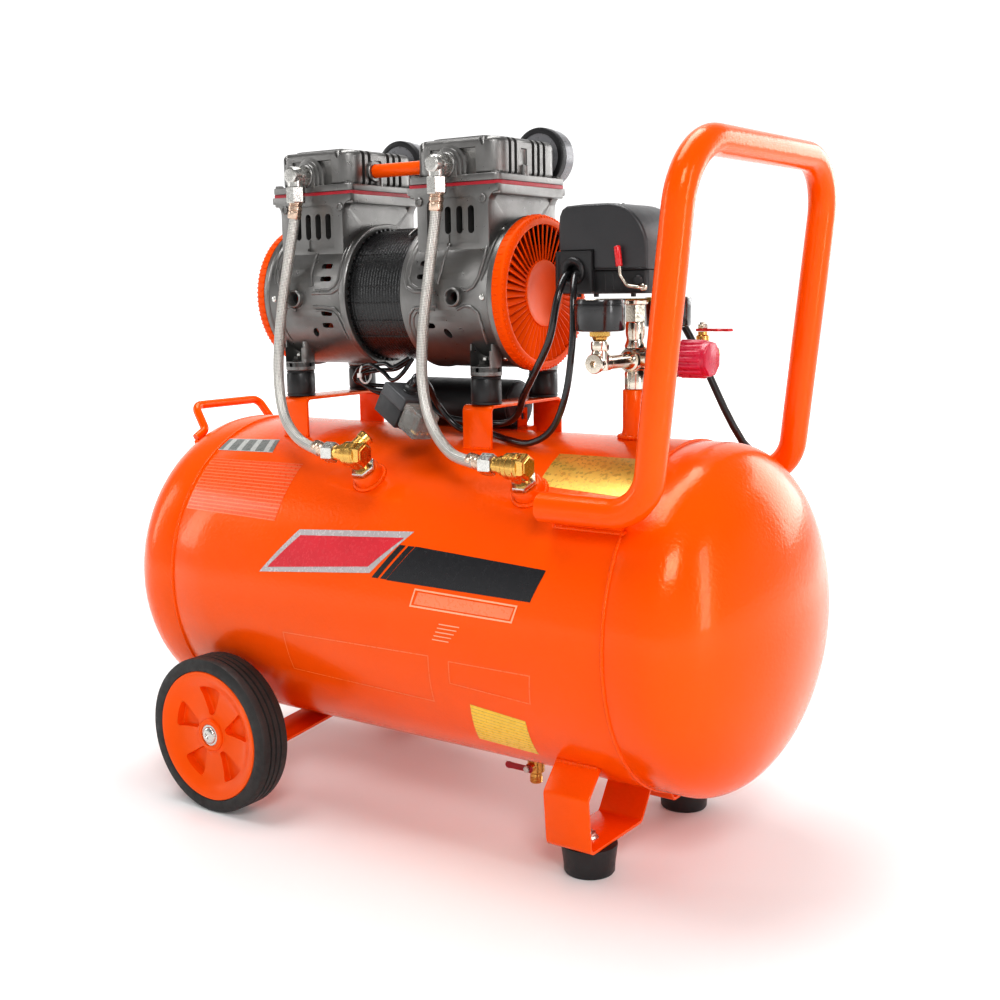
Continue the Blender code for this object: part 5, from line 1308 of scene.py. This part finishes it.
made("nickel_manifold", forms, nickel, stands_for=["manifold"], angle=28)
made("switch_plate", [level(rounded(0.0720, 0.0300, 0.0060, 5, (0.1900, 0.0)), 0.4936, 0.4950, 0.0003, 1),
                      rod(0.0040, 0.4920, 0.4960, (0.213, -0.008, 0), "Z", 6)],
     brass)

# ---- gauges ----
# Two 43 mm black steel cans that look straight up, on brass connectors with eight-sided shanks. Each has a white
# dial with a printed scale and coloured sectors, a clear lens in a bright bezel lip, and a black needle.
dial_white = surface("dial_white", (0.80, 0.80, 0.78), 0.45, tint=0.02, tint_scale=60)
dial_ink = surface("dial_ink", (0.02, 0.02, 0.02), 0.5, tint=0.1, tint_scale=60)
dial_red = surface("dial_red", (0.55, 0.02, 0.02), 0.5, tint=0.06, tint_scale=60)
lens_clear = surface("lens_clear", (0.95, 0.95, 0.95), 0.04, tint=0.01, grain=0.00002)
see_through(lens_clear, 0.96, 1.15)
needle_black = surface("needle_black", (0.012, 0.012, 0.012), 0.35, tint=0.2, tint_scale=80)
gloss_black = surface("gloss_black", (0.010, 0.010, 0.011), 0.20, tint=0.2, tint_scale=40, grain=0.00004,
                      coat=0.4)
for place, y in (("tank", -0.0600), ("outlet", 0.0600)):
    at = Vector((0.193, y, 0.4685))
    can = mm((0, 0), (18.8, 0), (20.3, 0.6), (21.2, 2), (21.3, 21.5), (20.7, 21.9), (20.7, 22.6), (21.5, 23.1),
             (21.5, 25.8), (21, 26.6), (20, 26.6), (19.4, 26), (19.4, 20.6), (0, 20.6))
    made(f"gauge_can_{place}", [turned(can, at, "Z", 96)], gloss_black, stands_for=[f"gauge_{place}"])
    made(f"gauge_shank_{place}", [turned(mm((0, -8.2), (5.2, -8.2), (6, -7), (6.8, -5), (8, -4.6), (9, -4),
                                            (9, -0.4), (0, -0.4)), at, "Z", 8)],
         brass, angle=28)
    made(f"gauge_lip_{place}", [turned(mm((19.6, 26.2), (20, 26.9), (20.7, 27), (21.1, 26.5), (20.7, 26.2)), at,
                                       "Z", 96, ring=True)], nickel)
    made(f"gauge_dial_{place}", [rod(0.0193, 0.0203, 0.0209, at, "Z", 72)],
         dial_white)
    fine = repeated(brick((0.0150, -0.00012, 0.0209), (0.0168, 0.00012, 0.0211)), 51, turn=math.radians(5.4),
                    material=dial_ink)
    bold = repeated(brick((0.0138, -0.00025, 0.0209), (0.0168, 0.00025, 0.0211)), 11, turn=math.radians(27),
                    material=dial_ink)
    scale_turn = Matrix.Translation(at) @ Matrix.Rotation(math.radians(225 - 270), 4, "Z")
    for form in (fine, bold):
        form.transform(scale_turn)
    made(f"gauge_scale_{place}", [fine, bold], dial_ink)
    sector = repeated(brick((0.0172, -0.0008, 0.0209), (0.0182, 0.0008, 0.0211)), 14, turn=math.radians(4.6),
                      material=dial_red)
    sector.transform(scale_turn)
    made(f"gauge_sector_{place}", [sector], dial_red)
    made(f"gauge_lens_{place}", [turned(mm((0, 24), (19.3, 24), (19.3, 25.2), (15, 25.6), (0, 25.8)),
                                        at, "Z", 72)], lens_clear)
    bpy.data.objects[f"needle_{place}"].material_slots[0].material = needle_black
    made(f"needle_hub_{place}", [turned(mm((0, 21.2), (2, 21.2), (2, 22.4), (1.4, 23), (0, 23)), at, "Z", 24)],
         brass, f"needle_{place}")

# ---- pressure switch ----
# A black moulded base screwed to its plate, with a square cable panel and rubber grommet at each end, and a
# satin cover with a curved back, held by one screw. Its bent wire lever has a red vinyl sleeve.
satin_black = surface("satin_black", (0.030, 0.030, 0.032), 0.36, tint=0.10, tint_scale=14, grain=0.00012,
                      grain_scale=1400, scuff=0.05)
base = [level(rounded(0.0870, 0.0630, 0.0040, 5, (0.1775, 0.0020)), 0.4998, 0.5196, 0.0012, 2),
        level(rounded(0.0820, 0.0580, 0.0040, 5, (0.1775, 0.0020)), 0.4995, 0.5010, 0.0003, 1)]
for x in (0.150, 0.168, 0.205):
    base.append(brick((x - 0.0018, -0.0260, 0.4968), (x + 0.0018, -0.0225, 0.5000), 0.0004, 1))
for front, back in ((-0.0357, -0.0278), (0.0318, 0.0407)):
    panel = upright(rounded(0.0372, 0.0362, 0.0022, 4, (0.1514, 0.5184)), front, back, 0.0009)
    mouth = rod(0.0092, -0.0120, 0.0120, (0.1510, front if front < 0 else back, 0.5188), "Y", 48)
    frame_cut = upright(rounded(0.0300, 0.0290, 0.0015, 4, (0.1514, 0.5184)),
                        *((front - 0.01, front + 0.0006) if front < 0
                                                                                else (back - 0.0006,
                                                                                      back + 0.01)))
    base.append(carved(panel, mouth, frame_cut) if front < 0 else panel)
base.append(turned(mm((0, 0), (4.6, 0), (4.4, 2.2), (3.4, 3), (0, 3)), (0.2130, -0.0290, 0.5105), "-Y", 28))
for x in (0.180, 0.188, 0.196):
    base.append(brick((x - 0.0008, -0.0300, 0.5020), (x + 0.0008, -0.0288, 0.5170), 0.0003, 1))
made("switch_box_base", base, black_moulding, stands_for=["switch_base"])
made("front_grommet", [turned(mm((6, 0), (7.5, 1.8), (9.2, 2.6), (11.2, 2.2), (12.2, 1), (12.2, -1), (9, -1.4),
                                 (8.8, -6), (6, -6)),
                              (0.1510, -0.0364, 0.5188), "-Y", 56, ring=True)],
     rubber("grommet_rubber", 0.016, 0.38))
made("rear_grommet", [turned(mm((0, -1), (10, -1), (10.4, 0.6), (6, 1.4), (0, 1.4)),
                             (0.1510, 0.0398, 0.5195), "Y", 48)], bpy.data.materials["grommet_rubber"])
outline = mm((133.5, 519.9), (133.5, 556), (134.5, 566.8), (137.2, 572.4), (142, 575.2), (160, 576.2))
outline += [(0.1830 + 0.0390 * math.cos(math.radians(t)), 0.5360 + 0.0402 * math.sin(math.radians(t)))
            for t in range(90, -1, -6)]
outline += [(0.2220, 0.5199)]
hood = upright(outline, -0.0320, 0.0360, 0.0032, 5)
hood = carved(hood, brick((0.1250, -0.0500, 0.5100), (0.1708, -0.0276, 0.5376)),
              brick((0.1250, 0.0316, 0.5100), (0.1708, 0.0600, 0.5376)),
              brick((0.1200, -0.0500, 0.5100), (0.2300, 0.0500, 0.5199)))
made("switch_hood", [hood], satin_black, stands_for=["switch_cover"], angle=40)
made("hood_skirt", [level(rounded(0.0876, 0.0672, 0.0045, 5, (0.1777, 0.0020)), 0.5196, 0.5206, 0.0003, 1)],
     black_moulding)
made("hood_screw", [turned(mm((0, 0), (3.4, 0), (3.6, 0.8), (2.6, 1.8), (0, 2)),
                           (0.1780, 0.0020, 0.5756), "Z", 28)], zinc)
wire = bent(mm((218.5, -30.3, 504.5), (218.5, -36.6, 504.5), (206, -36.6, 506.2), (199.2, -36.6, 515),
               (196.3, -36.6, 539)), [0.003, 0.006, 0.004], 10)
made("lever_wire", [bar(wire, 0.0015, 20)], nickel, "switch_lever", ["switch_lever"], angle=50)
sleeve = [Vector((0.1981, -0.0366, 0.5225)), Vector((0.1980, -0.0366, 0.5232)),
          Vector((0.1962, -0.0366, 0.5385)),
          Vector((0.1961, -0.0366, 0.5393)), Vector((0.1960, -0.0366, 0.5399))]
red_vinyl = surface("red_vinyl", (0.58, 0.012, 0.016), 0.28, tint=0.08, tint_scale=60, grain=0.00005, coat=0.3)
made("lever_tip", [bar(sleeve, [0.0026, 0.0030, 0.0030, 0.0026, 0.0014], 24)], red_vinyl, "switch_lever",
     angle=60)
made("lever_bush", [turned(mm((0, 0), (3, 0), (3, 2.6), (2.4, 3.2), (0, 3.2)),
                           (0.2185, -0.0300, 0.5045), "-Y", 28)], nickel, "switch_lever")

# ---- regulator and its knob ----
# A black moulded regulator on the cross's arm, turned by a crimson knob with rounded flutes and a flat
# faceted end.
knob_z = 0.4432
body = mm((0, 0), (13.8, 0), (15.2, 1.6), (16.5, 4), (16.5, 19), (15.8, 19.6), (15.8, 20.6), (16.3, 21.2),
          (16, 24), (14, 26.8), (12.5, 27.5), (0, 27.5))
crimson = surface("crimson_moulding", (0.50, 0.012, 0.045), 0.30, tint=0.06, tint_scale=30, grain=0.00006,
                  coat=0.15)
forms = [turned(body, (0.2103, 0, knob_z), "X", 72)]
made("regulator_shell", forms, black_moulding, stands_for=["regulator_body"])
core = turned(mm((0, 0), (14.8, 0), (15.4, 0.8), (15.4, 24), (14.8, 28.6), (0, 28.6)),
              (0, 0, 0), "Z", 96)
flute = bar([Vector((0.0139, 0, 0.0006)), Vector((0.0139, 0, 0.0014)), Vector((0.0139, 0, 0.0236)),
             Vector((0.0134, 0, 0.0262))], [0.0018, 0.0026, 0.0026, 0.0010], 14)
flutes = repeated(flute, 16, turn=math.radians(22.5), material=crimson)
face = slab([(0.0150 * math.cos(math.radians(22.5 + 45 * k)),
              0.0150 * math.sin(math.radians(22.5 + 45 * k))) for k in range(8)],
            0.0050, Matrix.Translation((0, 0, 0.0280)), 0.0014, 2)
for form in (core, flutes, face):
    form.transform(Matrix.Translation((0.2381, 0, knob_z)) @ Matrix.Rotation(math.pi / 2, 4, "Y"))
made("fluted_knob", [core, flutes, face], crimson, "regulator_knob", ["regulator_knob"], angle=40)

# ---- outlet valve ----
# A brass ball valve on the regulator's rear port with a threaded spout; its chromed lever plate carries a
# red vinyl sleeve with two lobes and turns under a steel nut.
spout = Vector((0.2245, 0, knob_z))
profile = mm((0, 10), (7.7, 10), (7.7, 50), (9.4, 52), (10, 54), (10, 81), (9.2, 82.5), (7, 83), (7.6, 83.8),
        (7, 84.6), (7.6, 85.4), (7, 86.2), (7.6, 87), (7, 87.8), (7.6, 88.6), (7, 90), (6, 91.8), (4.8, 91.8),
             (4.8, 77), (0, 77))
forms = [turned(profile, spout, "Y", 64),
         rod(0.0104, 0.0545, 0.0605, spout, "Y", 6),
         rod(0.0104, 0.0755, 0.0808, spout, "Y", 6),
         turned(mm((0, 450), (6, 450), (5.8, 460), (4.2, 461.2), (4.2, 464), (0, 464)),
                (0.2245, 0.0680, 0), "Z", 40)]
made("brass_outlet_valve", forms, brass, angle=28)
outline = arc(0.0062, 150, 210, 6, (0.0, 0.0)) + mm((4, -3.6), (9, -2.4))
outline += arc(0.0052, 215, 320, 8, (0.0150, 0.0)) + [(0.0210, -0.0026)] + arc(0.0048, 230, 490, 16,
                                                                               (0.0250, 0.0))
outline += [(0.0210, 0.0026)] + arc(0.0052, 40, 145, 8, (0.0150, 0.0)) + mm((9, 2.4), (4, 3.6))
made("outlet_handle", [slab(outline, 0.0024, Matrix.Translation((0.2245, 0.0680, 0.46555)), 0.0008)], red_vinyl,
     "outlet_lever", ["outlet_lever"], angle=40)
made("outlet_handle_nut", [turned(mm((0, 466.7), (4.4, 466.7), (4.8, 467.2), (4.8, 470), (4.2, 470.6),
                                     (0, 470.6)), (0.2245, 0.0680, 0), "Z", 6),
                           turned(mm((0, 470), (2.6, 470), (2.6, 472.4), (0, 472.8)), (0.2245, 0.0680, 0), "Z",
                                  24)],
     nickel, "outlet_lever", angle=28)

# ---- leads ----
# Round black PVC leads from the switch's front grommet: one to the motor, one to the solenoid, and the
# motor's own tails looped up under the bells to the capacitor. Nylon ties hold them together.
pvc = surface("glossy_pvc", (0.010, 0.010, 0.011), 0.22, tint=0.25, tint_scale=40, grain=0.00004, scuff=0.06,
              coat=0.3)
motor_run = mm((146.8, -29, 517.5), (148.5, -45, 514), (149, -58, 495), (142.5, -61, 461), (123, -54, 433),
        (101, -40, 410), (81, -22, 390), (56, -10, 380), (20, -8, 379), (-20, -6, 385), (-42, -3, 405),
               (-48, 0, 436))
made("motor_cable", [bar(flowing(motor_run, 110), 0.0033, 18)], pvc, stands_for=["motor_lead"], angle=60)
lead_end = tilt @ Vector((0.0000, 0.0020, 0.0153))
lead_rise = tilt @ Vector((0.0000, 0.0020, 0.0250))
solenoid_run = [(0.1552, -0.0290, 0.5175), (0.1585, -0.0440, 0.5150), (0.1660, -0.0590, 0.4950),
                (0.1680, -0.0640, 0.4600), (0.1610, -0.0640, 0.4150), (0.1430, -0.0590, 0.3830),
                (0.1160, -0.0540, 0.3690), (0.0870, -0.0470, 0.3700), (0.0580, -0.0380, 0.3740),
                (0.0250, -0.0360, 0.3760), (0.0080, -0.0440, 0.3960), (0.0070, -0.0600, 0.4180),
                (0.0060, -0.0740, 0.4270), lead_rise, lead_end]
made("solenoid_cable", [bar(flowing(solenoid_run, 130), 0.0030, 18)], pvc, stands_for=["solenoid_lead"],
     angle=60)
tails = [mm((-43, -25, 440), (-56.5, -33, 431.5), (-70, -31, 434.5), (-95, -27, 430), (-113, -23, 423.5),
            (-119, -18, 416), (-109, -13, 412), (-88, -11, 411), (-60, -9, 411.5), (-45, -6, 402),
            (-38, 4, 396)),
         mm((-36, -28, 440), (-44, -36, 425), (-57, -35, 419), (-70, -32, 426), (-88, -30, 433),
            (-106, -26, 429), (-115, -20, 419), (-100, -16, 408), (-75, -14, 406), (-56, -9, 402),
            (-44, 6, 395)),
         mm((-48, -18, 438), (-62, -22, 429), (-85, -21, 427), (-108, -18, 422), (-106, -12, 408),
            (-85, -8, 401), (-60, -2, 398), (-50, 8, 396))]
made("motor_tails", [bar(flowing(t, 80), 0.0021, 14) for t in tails], pvc, angle=60)
tie = [Vector((-0.1000, -0.0245 + 0.0085 * math.cos(a), 0.4235 + 0.0095 * math.sin(a)))
       for a in (2 * math.pi * k / 20 for k in range(21))]
made("tail_tie", [bar(tie, 0.0010, 8), brick((-0.1025, -0.0345, 0.4200), (-0.0980, -0.0315, 0.4245), 0.0006)],
     dial_white)

# ---- floor and studio light ----
# A plain pale floor with a painted glow, faint near the object and rising with distance into a white room,
# under five soft boxes: overhead, a key off the handle's corner, tall ones at both sides and one behind.
floor_mesh = bpy.data.meshes.new("floor")
floor_form = shaped([(-8, -8, 0), (8, -8, 0), (8, 8, 0), (-8, 8, 0)], [(0, 1, 2, 3)])
floor_form.to_mesh(floor_mesh)
floor_form.free()
floor_mesh.materials.append(surface("pale_floor", (0.86, 0.86, 0.86), 0.55, tint=0.01, tint_scale=2.0,
                                    scuff=0.05))
floor = bpy.data.objects.new("floor", floor_mesh)
bpy.context.scene.collection.objects.link(floor)


def soft_box(name, place, aim, width, height, power):
    light = bpy.data.lights.new(name, "AREA")
    light.shape = "RECTANGLE"
    light.size = width
    light.size_y = height
    light.energy = power
    lamp = bpy.data.objects.new(name, light)
    lamp.location = place
    lamp.rotation_mode = "QUATERNION"
    lamp.rotation_quaternion = (Vector(aim) - Vector(place)).to_track_quat("-Z", "Y")
    bpy.context.scene.collection.objects.link(lamp)


def smooth_step(tree, value, start, end, before, after):
    """A value that passes smoothly from before to after as another goes from start to end."""
    change = tree.nodes.new("ShaderNodeMapRange")
    change.interpolation_type = "SMOOTHSTEP"
    for name, number in zip(("From Min", "From Max", "To Min", "To Max"), (start, end, before, after)):
        change.inputs[name].default_value = number
    tree.links.new(value, change.inputs["Value"])
    return change.outputs["Result"]


soft_box("overhead_box", (-0.3, 0.1, 2.2), (0, 0, 0.3), 1.7, 0.9, 32)
soft_box("key_box", (1.5, -1.7, 1.9), (0.05, 0, 0.35), 0.8, 0.8, 24)
soft_box("fill_box", (-2.3, -1.2, 1.2), (0, 0, 0.3), 0.5, 1.4, 8)
soft_box("side_box", (2.2, -0.3, 0.8), (0.2, 0, 0.3), 0.3, 1.4, 9)
soft_box("back_box", (0.9, 2.1, 1.0), (0, 0, 0.4), 1.3, 1.2, 16)
# The floor's emission is a painted glow that stands in for lit paper: faint near the object, near white far off.
glow = floor_mesh.materials[0].node_tree
far = glow.nodes.new("ShaderNodeTexCoord")
reach = glow.nodes.new("ShaderNodeVectorMath")
reach.operation = "LENGTH"
glow.links.new(far.outputs["Object"], reach.inputs[0])
painted_floor_glow = smooth_step(glow, reach.outputs["Value"], 0.6, 2.4, 0.05, 0.85)
glow.nodes["Principled BSDF"].inputs["Emission Color"].default_value = (1, 1, 1, 1)
glow.links.new(painted_floor_glow, glow.nodes["Principled BSDF"].inputs["Emission Strength"])
room = bpy.data.worlds.new("pale_room")
room.use_nodes = True
sky = room.node_tree
toward = sky.nodes.new("ShaderNodeTexCoord")
facing = sky.nodes.new("ShaderNodeVectorMath")
facing.operation = "DOT_PRODUCT"
facing.inputs[1].default_value = (-0.575, 0.815, -0.05)
sky.links.new(toward.outputs["Generated"], facing.inputs[0])
fade = smooth_step(sky, facing.outputs["Value"], 0.45, 0.84, 0.20, 1.0)
heights = sky.nodes.new("ShaderNodeSeparateXYZ")
sky.links.new(toward.outputs["Generated"], heights.inputs[0])
band = smooth_step(sky, heights.outputs["Z"], 0.04, 0.55, 0.62, 0.16)
brighter = sky.nodes.new("ShaderNodeMath")
brighter.operation = "MAXIMUM"
sky.links.new(fade, brighter.inputs[0])
sky.links.new(band, brighter.inputs[1])
sky.nodes["Background"].inputs["Color"].default_value = (1.0, 1.0, 1.0, 1)
sky.links.new(brighter.outputs["Value"], sky.nodes["Background"].inputs["Strength"])
bpy.context.scene.world = room
bpy.context.scene.view_settings.view_transform = "Standard"
bpy.context.scene.view_settings.look = "Medium High Contrast"
